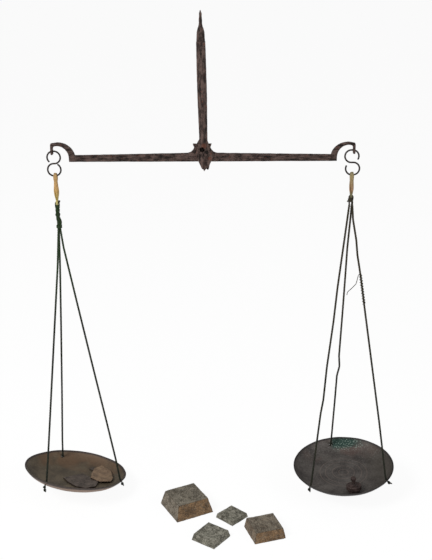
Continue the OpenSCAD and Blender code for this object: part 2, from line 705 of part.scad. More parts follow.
// Wire bent to an S, drawn for the right arm; its origin is the wire in the beam's eye
module s_hook(form, upper_open, lower_open) {
    half = form[2] / 2;
    upper = [-form[0], -ring_drop(form)];
    lower = [-form[1], upper[1] - 2 * ring_r];
    translate([upper[0] + half, 0, upper[1]]) {
        wire_arc(upper_open, 90);
        wire_end(upper_open);
    }
    wire_flat(upper[0] - half, upper[0] + half, upper[1] + ring_r);
    translate([upper[0] - half, 0, upper[1]]) wire_arc(90, 270);
    wire_flat(upper[0] - half, lower[0] + half, upper[1] - ring_r);
    translate([lower[0] + half, 0, lower[1]]) wire_arc(-90, 90);
    wire_flat(lower[0] - half, lower[0] + half, lower[1] - ring_r);
    translate([lower[0] - half, 0, lower[1]]) {
        wire_arc(lower_open, 270);
        wire_end(lower_open);
    }
}

module hook_right() {
    color(IRON_DARK) translate([eye_x, 0, hook_z])
        s_hook(hook_form_right, hook_ends_right[0], hook_ends_right[1]);
}

module hook_left() {
    color(IRON_DARK) translate([-eye_x, 0, hook_z]) mirror([1, 0, 0])
        s_hook(hook_form_left, hook_ends_left[0], hook_ends_left[1]);
}

// Section of two strips that lie face to face, from the groove on its left
strips = [[-0.42, 0], [-0.5, -0.25], [-0.5, -0.7], [-0.4, -1], [0.4, -1], [0.5, -0.7], [0.5, -0.25],
    [0.42, 0], [0.5, 0.25], [0.5, 0.7], [0.4, 1], [-0.4, 1], [-0.5, 0.7], [-0.5, 0.25]];
// Size of the twisted strips on the way up: share of their length, share of their full size
strips_size = [[0, 0.5], [0.1, 0.52], [0.22, 0.58], [0.3, 0.64], [0.37, 0.72], [0.46, 0.82],
    [0.56, 0.9], [0.7, 0.94], [0.85, 0.97], [1, 1]];

// Leather thong: a strap over the hook wire, two strips twisted together, and an eye
module thong(length) {
    twist_top = -strap_in - strap_thick - 1.4;
    twist_len = length + twist_top - loop_r;
    // Strap over the wire
    rotate([90, 0, 90]) rotate_extrude(angle = 180)
        translate([strap_in, -strap_w / 2]) square([strap_thick, strap_w]);
    for (s = [-1, 1])
        translate([0, s * (strap_in + strap_thick / 2), twist_top / 2 + bite / 2])
            cube([strap_w, strap_thick, -twist_top + bite], center = true);
    translate([0, 0, twist_top + 0.4])
        cube([strap_w, 2 * (strap_in + strap_thick), 0.8], center = true);
    // Twisted strips, smaller towards the foot
    skinned([
        for (s = strips_size)
            let (turn = strip_twist * (1 - s[0]))
            [for (p = strips)
                let (
                    x = s[1] * strap_w * p[0],
                    y = s[1] * strip_thick * p[1]
                )
                [x * cos(turn) - y * sin(turn), x * sin(turn) + y * cos(turn),
                    twist_top - (1 - s[0]) * twist_len + s[0] * bite]]
    ]);
    // Lower eye, seen edge on from the front
    translate([0, 0, -length]) rotate([0, 90, 0]) rotate_extrude()
        translate([loop_r, 0]) circle(loop_tube_r, $fn = 20);
}

module thong_left() {
    color(LEATHER_TAN) translate([-hang_x, 0, thong_z_left]) {
        thong(thong_len_left);
        // Cut end of the strap, knotted beside the twisted strips
        translate([2, 0, loop_r + loop_tube_r - thong_len_left]) {
            sphere(1.5, $fn = 24);
            translate([1.2, 0, -2.8]) cylinder(r1 = 0.45, r2 = 0.6, h = 2.6, $fn = 20);
        }
    }
}

module thong_right() {
    color(LEATHER_OLIVE) translate([hang_x, 0, thong_z_right]) thong(thong_len_right);
}

// Cord loop that hangs in the thong's eye, with its two ends going down into a knot
module head_loop() {
    leg = loop_tube_r + head_loop_r + 1.4;
    translate([0, 0, -loop_r]) {
        rotate([90, 0, 0]) rotate_extrude(angle = 180)
            translate([head_bend, 0]) circle(head_loop_r, $fn = 20);
        for (s = [-1, 1])
            translate([s * head_bend, 0, -leg])
                cylinder(r = head_loop_r + weld_grow, h = leg + 0.6 * weld_len, $fn = 20);
    }
}

module cord_bundle_left() {
    top = loop_r + loop_tube_r + head_loop_r;
    body = bundle_len - top;
    shape = [
        [0, 0, 0.8], [0, 0.03, 0.96], [-0.7, 0.12, 0.98], [-0.9, 0.28, 1.02], [0, 0.42, 0.92],
        [0.5, 0.58, 1], [0.7, 0.72, 1.04], [0.4, 0.82, 0.9], [0.1, 0.87, 1.35],
        [0, 0.93, 1.42], [0, 0.97, 1.2], [0, 1, 0.95]
    ];
    color(CORD_GREEN) translate([-hang_x, 0, loop_z_left]) {
        head_loop();
        tube(
            [for (s = shape) [s[0] + s[1] * bundle_lean, 0, -top - s[1] * body]],
            [for (s = shape) s[2] * bundle_r],
            12, [0, 1, 0], undef
        );
    }
}

module cord_knot_right() {
    top = loop_r + loop_tube_r + head_loop_r;
    body = knot_len - top;
    shape = [[0, 0.9], [0.12, 1.15], [0.45, 1.3], [0.75, 1.2], [1, 0.92]];
    color(CORD_OLIVE) translate([hang_x, 0, loop_z_right]) {
        head_loop();
        tube(
            [for (s = shape) [0, 0, -top - s[0] * body]], [for (s = shape) s[1] * bundle_r],
            12, [0, 1, 0], undef
        );
        // Cut end of the knot's cord
        tube(
            [[-1.6, -0.4, -top - 1.2], [-2.8, -0.6, -top - 1.4], [-3.9, -0.8, -top - 2]],
            [cord_r, cord_r, 0.8 * cord_r], 8, [0, 1, 0], undef
        );
    }
}

// Route of one cord: from its knot down to the hole, and out through the wall
function cord_start(top, hole) = top + cord_spread * [cos(hole[0]), sin(hole[0]), 0];
function cord_run(top, pan, hole, bends) =
    let (
        a = cord_start(top, hole),
        b = hole_in(pan, hole, -1.8)
    )
    concat([a], bent(a, b, bends), [b], [hole_in(pan, hole, 0), hole_in(pan, hole, pan[1] / 2 + 0.15)]);

// One cord with its end knot outside the pan; the knot is given as its length, its distance
// from the wall as a share of its radius, and the way that it points
module pan_cord(top, pan, hole, bends, knot) {
    run = cord_run(top, pan, hole, bends);
    at = hole_in(pan, hole, pan[1] / 2 + seat_gap + knot[1] * end_knot_r);
    way = unit(knot[2]);
    form = [
        [-0.4 * end_knot_r, 0.6], [0.1 * end_knot_r, 0.95], [knot[0] - 1.3 * end_knot_r, 1],
        [knot[0] - 0.7 * end_knot_r, 0.85], [knot[0] - 0.4 * end_knot_r, 0.4]
    ];
    route = concat(run, [at]);
    tube(route, [for (p = route) cord_r], 8, [0, 1, 0], [0, 0, -1]);
    tube([for (f = form) at + f[0] * way], [for (f = form) f[1] * end_knot_r], 10, [0, 1, 0], undef);
}

knot_left = [bundle_lean - hang_x, 0, cord_z_left];
knot_right = [hang_x, 0, cord_z_right];

module left_cord(which, bends, knot) {
    color(CORD_GREEN) pan_cord(knot_left, form_left, holes_left[which], bends, knot);
}

module right_cord(which, bends, knot) {
    color(CORD_OLIVE) pan_cord(knot_right, form_right, holes_right[which], bends, knot);
}

module cord_left_front() {
    left_cord(0, bends_left_front, [7, 0.8, [0, 0, -1]]);
}

module cord_left_rear() {
    left_cord(1, bends_left_rear, [4, 0.8, [0, 0, -1]]);
}

module cord_left_side() {
    left_cord(2, bends_left_side, [3.6, 0.8, [0.2, 0, -1]]);
}

module cord_right_front() {
    right_cord(0, bends_right_front, [4.6, 0.5, [0, 0, -1]]);
}

module cord_right_rear() {
    right_cord(1, bends_right_rear, [4, 0.8, [0, 0, -1]]);
}

module cord_right_side() {
    right_cord(2, bends_right_side, [4.8, 0.5, [1, -0.5, -0.5]]);
}

// The lashing is one thread: its loose tail, then its turns round the mended cord
lash_a = cord_start(knot_right, holes_right[2]);
lash_b = hole_in(form_right, holes_right[2], -1.8);
lash_top = lash_a + lash_from * (lash_b - lash_a);
lash_foot = lash_a + lash_to * (lash_b - lash_a);
lash_axis = unit(lash_foot - lash_top);
lash_u = unit(cross([0, 1, 0], lash_axis));
lash_v = cross(lash_axis, lash_u);
lash_bend = cord_r + lash_r + 0.08;
lash_steps = 24;
lash_coil = [
    for (i = [0:lash_turns * lash_steps])
        let (turn = 360 * i / lash_steps)
        lash_top + (1 + i) / (2 + lash_turns * lash_steps) * (lash_foot - lash_top)
            + lash_bend * (cos(turn) * lash_u + sin(turn) * lash_v)
];
lash_route = concat([for (t = lash_tail) lash_top + t], lash_coil);
// Least gap between one turn and the next, measured on the points of the thread
lash_gap = min([
    for (i = [0:len(lash_route) - 1 - lash_steps / 2])
        for (j = [i + lash_steps / 2:min(i + 2 * lash_steps, len(lash_route) - 1)])
            norm(lash_route[i] - lash_route[j])
]) - 2 * lash_r;

module repair_lashing() {
    frayed = [0.3, 1.3, 1, 1];
    echo(least_gap_of_the_lashing = lash_gap);
    color(CORD_OLIVE) tube(
        lash_route, [for (i = [0:len(lash_route) - 1]) i < 4 ? frayed[i] * lash_r : lash_r],
        6, lash_axis, undef
    );
}

// Places a piece of a leaning pan; its origin is the middle of the rim
module in_pan(pan) {
    translate(pan[3]) rotate([0, pan[2][1], 0]) rotate([pan[2][0], 0, 0]) children();
}

module dish(pan, holes) {
    bend = wall_r(pan);
    wall = pan[1];
    in_pan(pan) difference() {
        rotate_extrude($fn = 96) translate([0, bend - pan_depth]) {
            translate([0, -bend - wall]) square([floor_r + bite, wall]);
            translate([floor_r, 0]) intersection() {
                difference() {
                    circle(bend + wall, $fn = 180);
                    circle(bend, $fn = 180);
                }
                polygon([[0, 0], [0, -past], past * [sin(wall_slope(pan)), -cos(wall_slope(pan))]]);
            }
        }
        for (h = holes)
            translate(hole_point(pan, h, 0)) rotate([0, 0, h[0]]) rotate([0, -hole_slope(pan, h), 0])
                cylinder(r = hole_r, h = 6, center = true, $fn = 24);
    }
}

module pan_left() {
    color(PAN_BROWN) dish(form_left, holes_left);
}

module pan_right() {
    color(PAN_DARK) dish(form_right, holes_right);
}

module grey_sheet() {
    color(LEAD_GREY) in_pan(form_left) translate([0, 0, seat_gap - pan_depth])
        linear_extrude(grey_thick) polygon([
            [-11.5, -8.9], [-4.5, -19.5], [3.9, -27.4], [16.4, -30], [26, -21.6], [27.5, -7.3],
            [18, 2.4], [6.8, 9.8], [-4.6, -2.6]
        ]);
}

// The tan sheet rests on the grey one and, at its far end, on the pan's wall
module tan_sheet() {
    color(SHEET_TAN) in_pan(form_left) translate([0, -10, 2 * seat_gap + grey_thick - pan_depth])
        rotate([tan_tilt, 0, 0]) linear_extrude(tan_thick) polygon([
            [18, 7], [17.6, 20], [18.6, 33], [26, 45], [38, 32.5], [42.2, 15], [41.4, 5], [29.3, 0.2]
        ]);
}

// The small clipping lies behind the tan sheet, where the pan's wall starts to rise
module small_clipping() {
    color(LEAD_GREY) in_pan(form_left) rotate([0, 0, 60]) translate([floor_r - 6, 0, seat_gap - pan_depth])
        rotate([0, -clip_tilt, 0]) linear_extrude(clip_thick)
            polygon([[1, -2], [8, -3.4], [9.2, 2.6], [3, 4.2]]);
}

// The knobbed weight's foot rests on the floor at one side and on the wall at the other
knob_reach = knob_out + foot_r;
knob_rise = wall_r(form_right) - sqrt(pow(wall_r(form_right), 2) - pow(knob_reach, 2));
knob_tilt = asin(knob_rise / (2 * foot_r));
knob_foot = seat_gap + foot_r * sin(knob_tilt) - pan_depth;

// Turned weight with a knob to lift it by
module knob_weight() {
    step_h = 0.36 * disc_h;
    neck_r = 0.6 * knob_r;
    ball_z = disc_h + knob_h - knob_r * 0.9;
    color(IRON_DARK) in_pan(form_right) rotate([0, 0, knob_bearing])
        translate([floor_r + knob_out, 0, knob_foot]) rotate([0, -knob_tilt, 0]) {
        rotate_extrude() polygon([
            [0, 0], [foot_r, 0], [foot_r, step_h], [disc_r, step_h + 0.5], [disc_r, disc_h - 0.5],
            [disc_r - 0.5, disc_h], [neck_r + 0.9, disc_h], [neck_r, disc_h + 1.6],
            [neck_r, ball_z - 0.6 * knob_r], [0, ball_z - 0.6 * knob_r]
        ]);
        translate([0, 0, ball_z]) intersection() {
            sphere(knob_r);
            translate([0, 0, -0.85 * knob_r]) cylinder(r = 2 * knob_r, h = 1.75 * knob_r);
        }
    }
}

// Square block that narrows upwards, with a raised ring and four raised studs on its top
module block_weight(base, top, height, ring) {
    slope = [[base / 2, 0], [top / 2, height]];
    stud = 0.32 * top;
    intersection() {
        front_cut(-past, past) even_outline(slope);
        side_cut(-past, past) even_outline(slope);
    }
    translate([0, 0, height - bite]) {
        difference() {
            cylinder(r = ring, h = relief_h + bite);
            translate([0, 0, -1]) cylinder(r = ring - 0.05 * top, h = relief_h + 2);
        }
        cylinder(r = 0.35 * ring, h = relief_h + bite);
        for (a = [45:90:315])
            rotate([0, 0, a]) translate([stud * sqrt(2) * 0.97, 0, 0])
                cylinder(r = 0.07 * top, h = relief_h + bite);
    }
}

// Puts a block on the surface under the balance and turns it
module standing(x, y, turn) {
    translate([x, y, -table_drop]) rotate([0, 0, turn]) children();
}

module block_weight_large() {
    color(BRONZE) standing(large_x, large_y, large_turn)
        block_weight(large_base, 0.809 * large_base, large_h, 8.4);
}

module block_weight_medium() {
    color(BRONZE) standing(medium_x, medium_y, medium_turn)
        block_weight(medium_base, 0.877 * medium_base, medium_h, 7);
}

module block_weight_thin() {
    color(BRONZE) standing(thin_x, thin_y, thin_turn)
        block_weight(thin_base, 0.909 * thin_base, thin_h, 5.6);
}

module block_weight_small() {
    color(BRONZE) standing(small_x, small_y, small_turn)
        block_weight(small_base, 0.877 * small_base, small_h, 6.2);
}

shears_head();
shears_front_cheek();
shears_rear_cheek();
beam();
pointer();
knife_edge();
hook_left();
hook_right();
thong_left();
thong_right();
cord_bundle_left();
cord_knot_right();
cord_left_front();
cord_left_rear();
cord_left_side();
cord_right_front();
cord_right_rear();
cord_right_side();
repair_lashing();
pan_left();
pan_right();
grey_sheet();
tan_sheet();
small_clipping();
knob_weight();
block_weight_large();
block_weight_medium();
block_weight_thin();
block_weight_small();
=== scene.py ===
# %% [markdown]
# An old hand balance, finished in Blender
#
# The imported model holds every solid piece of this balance, in metres and in its place.
# It has the right sizes, but its iron is as smooth as on the day it was drawn and its
# cords are plain tubes. This script gives each piece the skin it has on the real
# balance: iron gets its hammered faces and worn edges, cords get their strands,
# leather gets its twist, and brass gets its patina.

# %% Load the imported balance
import json
import math

import bmesh
import bpy
from mathutils import Matrix, Vector, noise

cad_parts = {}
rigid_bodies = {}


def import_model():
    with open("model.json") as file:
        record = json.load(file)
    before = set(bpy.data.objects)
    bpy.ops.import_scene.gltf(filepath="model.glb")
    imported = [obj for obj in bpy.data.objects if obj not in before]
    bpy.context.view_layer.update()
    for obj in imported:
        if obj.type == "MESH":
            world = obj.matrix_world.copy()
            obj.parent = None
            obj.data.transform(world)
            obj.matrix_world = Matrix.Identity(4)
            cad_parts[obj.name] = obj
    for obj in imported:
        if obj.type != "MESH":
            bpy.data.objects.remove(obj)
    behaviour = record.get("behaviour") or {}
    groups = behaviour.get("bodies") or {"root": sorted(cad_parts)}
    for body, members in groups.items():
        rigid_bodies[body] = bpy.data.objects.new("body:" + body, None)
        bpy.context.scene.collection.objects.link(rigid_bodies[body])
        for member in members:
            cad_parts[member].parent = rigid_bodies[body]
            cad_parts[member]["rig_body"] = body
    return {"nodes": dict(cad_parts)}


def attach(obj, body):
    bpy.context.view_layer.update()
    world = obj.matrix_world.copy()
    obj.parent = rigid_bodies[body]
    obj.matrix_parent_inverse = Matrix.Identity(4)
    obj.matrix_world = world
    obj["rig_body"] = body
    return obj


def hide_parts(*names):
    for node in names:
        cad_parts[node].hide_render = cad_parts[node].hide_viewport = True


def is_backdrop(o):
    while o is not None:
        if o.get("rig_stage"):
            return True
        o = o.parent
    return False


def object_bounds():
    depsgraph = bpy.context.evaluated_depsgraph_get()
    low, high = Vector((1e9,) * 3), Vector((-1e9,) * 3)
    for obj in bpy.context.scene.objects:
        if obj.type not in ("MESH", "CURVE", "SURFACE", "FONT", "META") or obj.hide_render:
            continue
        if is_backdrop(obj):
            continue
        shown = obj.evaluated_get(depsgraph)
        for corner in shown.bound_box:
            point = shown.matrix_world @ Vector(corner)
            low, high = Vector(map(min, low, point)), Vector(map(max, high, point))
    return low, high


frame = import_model()
cad_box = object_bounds()
nodes = frame["nodes"]
MM = 0.001
TO_RIGHT, TO_BACK, DOWN = Vector((1.0, 0.0, 0.0)), Vector((0.0, 1.0, 0.0)), Vector((0.0, 0.0, -1.0))
print("solid pieces:", len(nodes))

# %% [markdown]
# The camera
#
# The camera stands about a metre in front of the balance, a little higher than the
# eye that it hangs by, and looks 20 degrees down. A Track To constraint could aim it,
# but it is also turned a little about its own line of sight. So its three directions
# are worked out from three angles and written as one matrix. The lens follows from the
# picture: its focal length over its height, both in pixels, on a 36 mm sensor.

# %% Camera
SENSOR, FOCAL_PIXELS, PICTURE_HEIGHT = 36.0, 997.569, 560.0
CAMERA_AT = Vector((41.198, -972.1, 82.955)) * MM
pitch, yaw, roll = (math.radians(a) for a in (19.801, -1.71, -0.615))
ahead = Vector((math.sin(yaw) * math.cos(pitch), math.cos(yaw) * math.cos(pitch), -math.sin(pitch)))
level = Vector((math.cos(yaw), -math.sin(yaw), 0.0))
upward = level.cross(ahead)
across = math.cos(roll) * level + math.sin(roll) * upward
upright = math.cos(roll) * upward - math.sin(roll) * level

camera = bpy.data.objects.new("photo_camera", bpy.data.cameras.new("photo_camera"))
camera.data.sensor_width = SENSOR
camera.data.lens = SENSOR * FOCAL_PIXELS / PICTURE_HEIGHT
camera.data.clip_start = 0.05
turned = Matrix((across, upright, -ahead)).transposed().to_4x4()
camera.matrix_world = Matrix.Translation(CAMERA_AT) @ turned
bpy.context.scene.collection.objects.link(camera)
bpy.context.scene.camera = camera
print("lens in mm:", round(camera.data.lens, 2))

# %% [markdown]
# From a mesh to a piece
#
# Every piece below ends the same way. Its bmesh is closed and linked to the scene, it is
# told which body it moves with, and the plain solid that it stands for is hidden. A few
# short helpers keep those steps in one place.

# %% Helpers for every piece
def linked(name, data):
    piece = bpy.data.objects.new(name, data)
    bpy.context.scene.collection.objects.link(piece)
    return piece


def smoothed(mesh):
    """Shades a mesh as one smooth surface."""
    mesh.polygons.foreach_set("use_smooth", [True] * len(mesh.polygons))
    return mesh


def piece_from(bm, name):
    """Closes a bmesh and links it as a piece."""
    mesh = bpy.data.meshes.new(name)
    bm.to_mesh(mesh)
    bm.free()
    return linked(name, mesh)


def flattened(piece):
    """The mesh that Blender shows for a piece, modifiers and curve bevels included."""
    bpy.context.view_layer.update()
    shown = piece.evaluated_get(bpy.context.evaluated_depsgraph_get())
    return bpy.data.meshes.new_from_object(shown)


def belongs(piece, body, node=None):
    """Attaches a piece to the body that it moves with, and hides the solid that it stands for."""
    if node:
        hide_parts(node)
    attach(piece, body)
    return piece


print("helpers ready")

# %% [markdown]
# Sweeping a line into a solid
#
# Cords and threads are a round section drawn along a line. A chain of cylinders would
# show its joints. A curve object has none: each of its points carries its own radius,
# so one helper makes a thread, a tapered tip or a knot. The result is turned into a
# mesh at once, because a mesh is what the other tools read.

# %% Helpers for swept pieces
def in_metres(points):
    return [Vector(p) * MM for p in points]


def swept(name, lines, sides=8, section=None):
    """A piece drawn along lines of (point, radius), in metres."""
    curve = bpy.data.curves.new(name, "CURVE")
    curve.dimensions = "3D"
    curve.use_fill_caps = True
    curve.bevel_resolution = (sides - 4) // 2
    if section:
        curve.bevel_mode, curve.bevel_object = "OBJECT", section
    else:
        curve.bevel_depth = 1.0
    for line in lines:
        spline = curve.splines.new("POLY")
        spline.points.add(len(line) - 1)
        for point, (place, radius) in zip(spline.points, line):
            point.co = (*place, 1.0)
            point.radius = radius
    holder = linked(name + "_line", curve)
    mesh = smoothed(flattened(holder))
    mesh.name = name
    bpy.data.objects.remove(holder)
    bpy.data.curves.remove(curve)
    return linked(name, mesh)


def evenly(route, step, easing):
    """Points a step apart along a route, with its corners eased by that many passes."""
    points = []
    for a, b in zip(route, route[1:]):
        count = max(1, round((b - a).length / step))
        points += [a.lerp(b, k / count) for k in range(count)]
    points.append(route[-1])
    for _ in range(easing):
        eased = [(a + 2 * b + c) / 4 for a, b, c in zip(points, points[1:], points[2:])]
        points = points[:1] + eased + points[-1:]
    return points


def run_of(points):
    """The length of a line of points."""
    return sum((b - a).length for a, b in zip(points, points[1:]))


print("a metre of line in mm:", run_of(in_metres([(0, 0, 0), (1000, 0, 0)])) / MM)

# %% [markdown]
# Laying a cord
#
# The pan cords are laid cord: three strands of yarn twisted round each other, about
# 2.2 mm across. A tube with stripes painted on it would look flat from close by, so
# each strand is its own spiral round the cord's line. Strands that touch each other
# have 0.464 of the cord's radius. They are drawn a little thicker than that, so that
# they press into each other as yarn does.

# %% Laid cord
CORD_R, CORD_LAY, PRESSED = 1.1, 5.4, 1.04


def frames_along(points):
    """Each point with two directions across the line, carried along without spin."""
    side = TO_BACK
    for i, point in enumerate(points):
        before, after = points[max(i - 1, 0)], points[min(i + 1, len(points) - 1)]
        along = (after - before).normalized()
        side = (side - along * side.dot(along)).normalized()
        yield point, side, along.cross(side)


def strands_of(points, radius, lay, count=3, start=0.0):
    """The spirals of a cord of this radius, whose strands turn once in each lay."""
    share = 1 / (1 + 1 / math.sin(math.pi / count))
    spirals = [[] for _ in range(count)]
    travel, last = 0.0, points[0]
    for point, side, front in frames_along(points):
        travel += (point - last).length
        last = point
        for k, spiral in enumerate(spirals):
            turn = start + 2 * math.pi * (travel / lay + k / count)
            offset = math.cos(turn) * side + math.sin(turn) * front
            spiral.append((point + offset * radius * (1 - share), radius * share * PRESSED))
    return spirals


def laid(route, radius, lay, step=0.3, easing=2, start=0.0):
    """The strands of a short cord along a route; the sizes are in millimetres."""
    return strands_of(evenly(route, step * MM, easing), radius * MM, lay * MM, start=start)


print("strand radius in mm:", round(CORD_R * 0.464, 3))

# %% [markdown]
# The six pan cords
#
# Each pan hangs on three cords. A cord leaves the knot above, runs down in a nearly
# straight line with the small kinks that an old cord keeps, goes through a hole near
# the pan's rim and ends in a knot outside. A cloth simulation would drop those kinks,
# so each route is written down. It repeats the points of the solid cord: the knot, a
# few places on the way, and the hole.

# %% Routes of the pan cords, in millimetres
CORD_ROUTES = {
    "left_front": [
        (-148.1, -1, -211), (-150.3, -7, -249.1), (-156.5, -17.9, -319.7), (-163.5, -30.9, -401.1),
        (-168.2, -39.6, -455.5), (-170.8, -43.9, -482.6), (-171.6, -45.1, -483.7),
        (-171.9, -45.6, -484.2),
    ],
    "left_rear": [
        (-148, 1, -211), (-150.7, 7.5, -254.3), (-156, 18.1, -326.3), (-162.6, 30.6, -412.8),
        (-167.7, 39.7, -476.2), (-169.1, 43, -499.3), (-169.8, 43.7, -500.8), (-170.1, 44, -501.4),
    ],
    "left_side": [
        (-146.4, -0.2, -211), (-144.1, -0.9, -231.2), (-133.3, -3, -291.6), (-121.8, -5.2, -354.8),
        (-107.9, -8.1, -429.6), (-99.1, -9.8, -478.5), (-96.2, -10.5, -498.6),
        (-95.1, -11, -500), (-94.7, -11.2, -500.6),
    ],
    "right_front": [
        (146.9, -0.7, -187), (145.2, -2.2, -202.2), (137.1, -8.8, -272.4), (133.7, -12.4, -309),
        (127.9, -17.2, -357.8), (124.9, -20.6, -394.4), (122.3, -22.4, -409.7),
        (113.4, -30.5, -492), (112.6, -31.2, -493.5), (112.2, -31.5, -494.1),
    ],
    "right_rear": [
        (149.5, 1.1, -187), (149.0, 3.4, -201.9), (147.5, 8.6, -234.8), (146.9, 15.5, -276.6),
        (146.2, 21.1, -312.5), (145, 29.7, -366.3), (146.1, 32, -379.7), (143.8, 33.7, -391.7),
        (142.9, 39, -426.1), (141, 48.4, -485.8), (140.8, 49.6, -487.2), (140.8, 50.1, -487.7),
    ],
    "right_side": [
        (150.0, -0.6, -187), (151.1, -1.8, -202), (155, -3.6, -223), (156.5, -4.9, -238),
        (160.1, -6.6, -258.4), (164.9, -9.3, -290.4), (184.9, -20.1, -420.9),
        (194.2, -25.8, -486.8), (195.4, -26.4, -488.1), (195.8, -26.6, -488.6),
    ],
}
# Each end knot: its length and its distance from the wall in millimetres, and its way
END_KNOTS = {
    "left_front": (7.0, 1.67, (0, 0, -1)), "left_rear": (4.0, 1.67, (0, 0, -1)),
    "left_side": (3.6, 1.67, (0.2, 0, -1)), "right_front": (4.6, 1.1, (0, 0, -1)),
    "right_rear": (4.0, 1.67, (0, 0, -1)), "right_side": (4.8, 1.1, (1, -0.5, -0.5)),
}
print("routes:", len(CORD_ROUTES))

# %% [markdown]
# An end knot is a simple overhand knot pulled tight. A ball would be quicker, but it
# has no crossings to catch the light. The knot's own line is the trefoil: a loop that
# passes through itself three times. Squeezed and stretched along the cord, it gives
# the lumps that keep the cord from slipping back through its hole. Most knots hang
# straight down outside the pan, with a short cut end. The longest one is two such
# knots, one on top of the other.

# %% End knots
KNOT_WIDTH, TWO_KNOTS_FROM = 1.12, 6
# Radius and lay of the cord on its way into the knot, in the knot and at its cut end
WAY_IN, TIED, CUT = (0.84, 3.6), (0.8, 3.4), (0.66, 3.0)


def overhand(middle, along, across_it, reach, width):
    """The line of a tight overhand knot; reach is along the cord, width across it."""
    third = along.cross(across_it)
    line = []
    for k in range(41):
        t = 2 * math.pi * (k / 40 * 0.94 + 0.03)
        a = (math.sin(t) + 2 * math.sin(2 * t)) / 3
        b = (math.cos(t) - 2 * math.cos(2 * t)) / 3
        depth = third * (math.sin(3 * t) * width * 0.55)
        line.append(middle + along * (a * reach) + across_it * (b * width) - depth)
    return line


def end_knot(name, seat, outward, length, distance, way):
    """The knot at the end of a pan cord, outside its hole, with its short cut end."""
    way = Vector(way).normalized()
    side = way.cross(TO_BACK).normalized()
    top = seat + (outward * distance - way * 0.76) * MM
    lines = laid([seat, top + way * 0.9 * MM, top + way * 1.6 * MM], *WAY_IN, 0.25)
    count = 2 if length > TWO_KNOTS_FROM else 1
    for k in range(count):
        middle = top + way * (length * (k + 0.5) / count) * MM
        reach = (length / count / 2 - 0.55) * MM
        knot = overhand(middle, way, side if k == 0 else -side, reach, KNOT_WIDTH * MM)
        lines += laid(knot, *TIED, 0.25, 3)
    low = top + way * (length - 1.2) * MM
    cut = [low, low + (way * 1.0 + side * 0.5) * MM, low + (way * 1.9 + side * 0.9) * MM]
    return swept(name, lines + laid(cut, *CUT, 0.2), 6)


# %% Pan cords and their knots
corded = {"left": [], "right": []}
for place, route in CORD_ROUTES.items():
    hand = place.split("_")[0]
    line = evenly(in_metres(route), 0.35 * MM, 30)
    cord = swept("pan_cord_" + place, strands_of(line, CORD_R * MM, CORD_LAY * MM), 6)
    outward = (line[-1] - line[-3]).normalized()
    knot = end_knot("end_knot_" + place, line[-1], outward, *END_KNOTS[place])
    run_of(line)
    line[::6] + line[-1:]
    corded[hand] += [
        belongs(cord, hand + "_pan", "cord_" + place),
        belongs(knot, hand + "_pan"),
    ]
    print(place, "cord in mm:", round(run_of(line) / MM, 1))

# %% [markdown]
# The mended cord
#
# The right pan's side cord has broken once. A thinner thread is wound round the mend
# in eleven open turns, and its loose end sticks out and hangs down. A striped sleeve
# would hide the gaps between the turns, so the winding's line is written as the
# solid's is: the tail first, then a spiral round one stretch of the cord.

# %% Mending thread
LASH_TAIL = [
    (146.9, -8.6, -280.6), (147.5, -8.5, -277.3), (151.5, -8, -273.7), (155.8, -8.2, -268.8),
    (156.4, -8.4, -266.6), (157.3, -8.3, -262.4), (157.9, -8, -259.6),
]
LASH_TURNS, LASH_R, LASH_BEND, LASH_LAY = 11, 0.45, 1.42, 2.4
STEPS_A_TURN = 24
lash_top, lash_foot = in_metres(CORD_ROUTES["right_side"][4:6])
lash_axis = (lash_foot - lash_top).normalized()
lash_side = TO_BACK.cross(lash_axis).normalized()
lash_front = lash_axis.cross(lash_side)
coil = []
for i in range(LASH_TURNS * STEPS_A_TURN + 1):
    turn = 2 * math.pi * i / STEPS_A_TURN
    along = (1 + i) / (2 + LASH_TURNS * STEPS_A_TURN)
    round_it = math.cos(turn) * lash_side + math.sin(turn) * lash_front
    coil.append(lash_top.lerp(lash_foot, along) + LASH_BEND * MM * round_it)
thread_line = list(reversed(evenly(in_metres(LASH_TAIL), 0.4 * MM, 3) + coil))
mending = swept("mending_thread", strands_of(thread_line, LASH_R * MM, LASH_LAY * MM, 2), 6)
run_of(thread_line)
corded["right"].append(belongs(mending, "right_pan", "repair_lashing"))
print("mending thread in mm:", round(run_of(thread_line) / MM, 1))

# %% [markdown]
# The bound bundle above the left pan
#
# The left cords come out of a bundle: they are doubled up, pass through the eye of
# the thong, and are bound down to a thick collar. One cord bulges out of the binding
# on its right. One lumpy tube could stand for all that, but the dark gaps between the
# cords are what the eye sees. So it is made as it is tied: a loop, four cords that
# wind loosely round each other, the bulge, and the turns of the collar.

# %% Helpers for tied cords
# Where the thongs hang: across, at the hook's wire and at the middle of their eyes
HANG_X = {"left": -147.8, "right": 148.5}
WIRE_Z = {"left": -156.043, "right": -155.991}
EYE_Z = {"left": -183.043, "right": -176.991}
EYE_R = 1.9


def read_off(places, at):
    """The value at a place, from a list of (place, value) in rising order."""
    for (a, value_a), (b, value_b) in zip(places, places[1:]):
        if at <= b:
            break
    return value_a + (value_b - value_a) * (at - a) / (b - a)


def level_way(turn):
    """The level direction at an angle about the upright."""
    return Vector((math.cos(turn), math.sin(turn), 0.0))


def ring_of_turns(middle, radius, top, foot, turns):
    """A few turns of cord round an upright middle line, from a top height to a foot."""
    steps = round(turns * 20)
    heights = [top + (foot - top) * k / steps for k in range(steps + 1)]
    return [middle(z) + level_way(k * math.pi / 10) * (radius * MM) for k, z in enumerate(heights)]


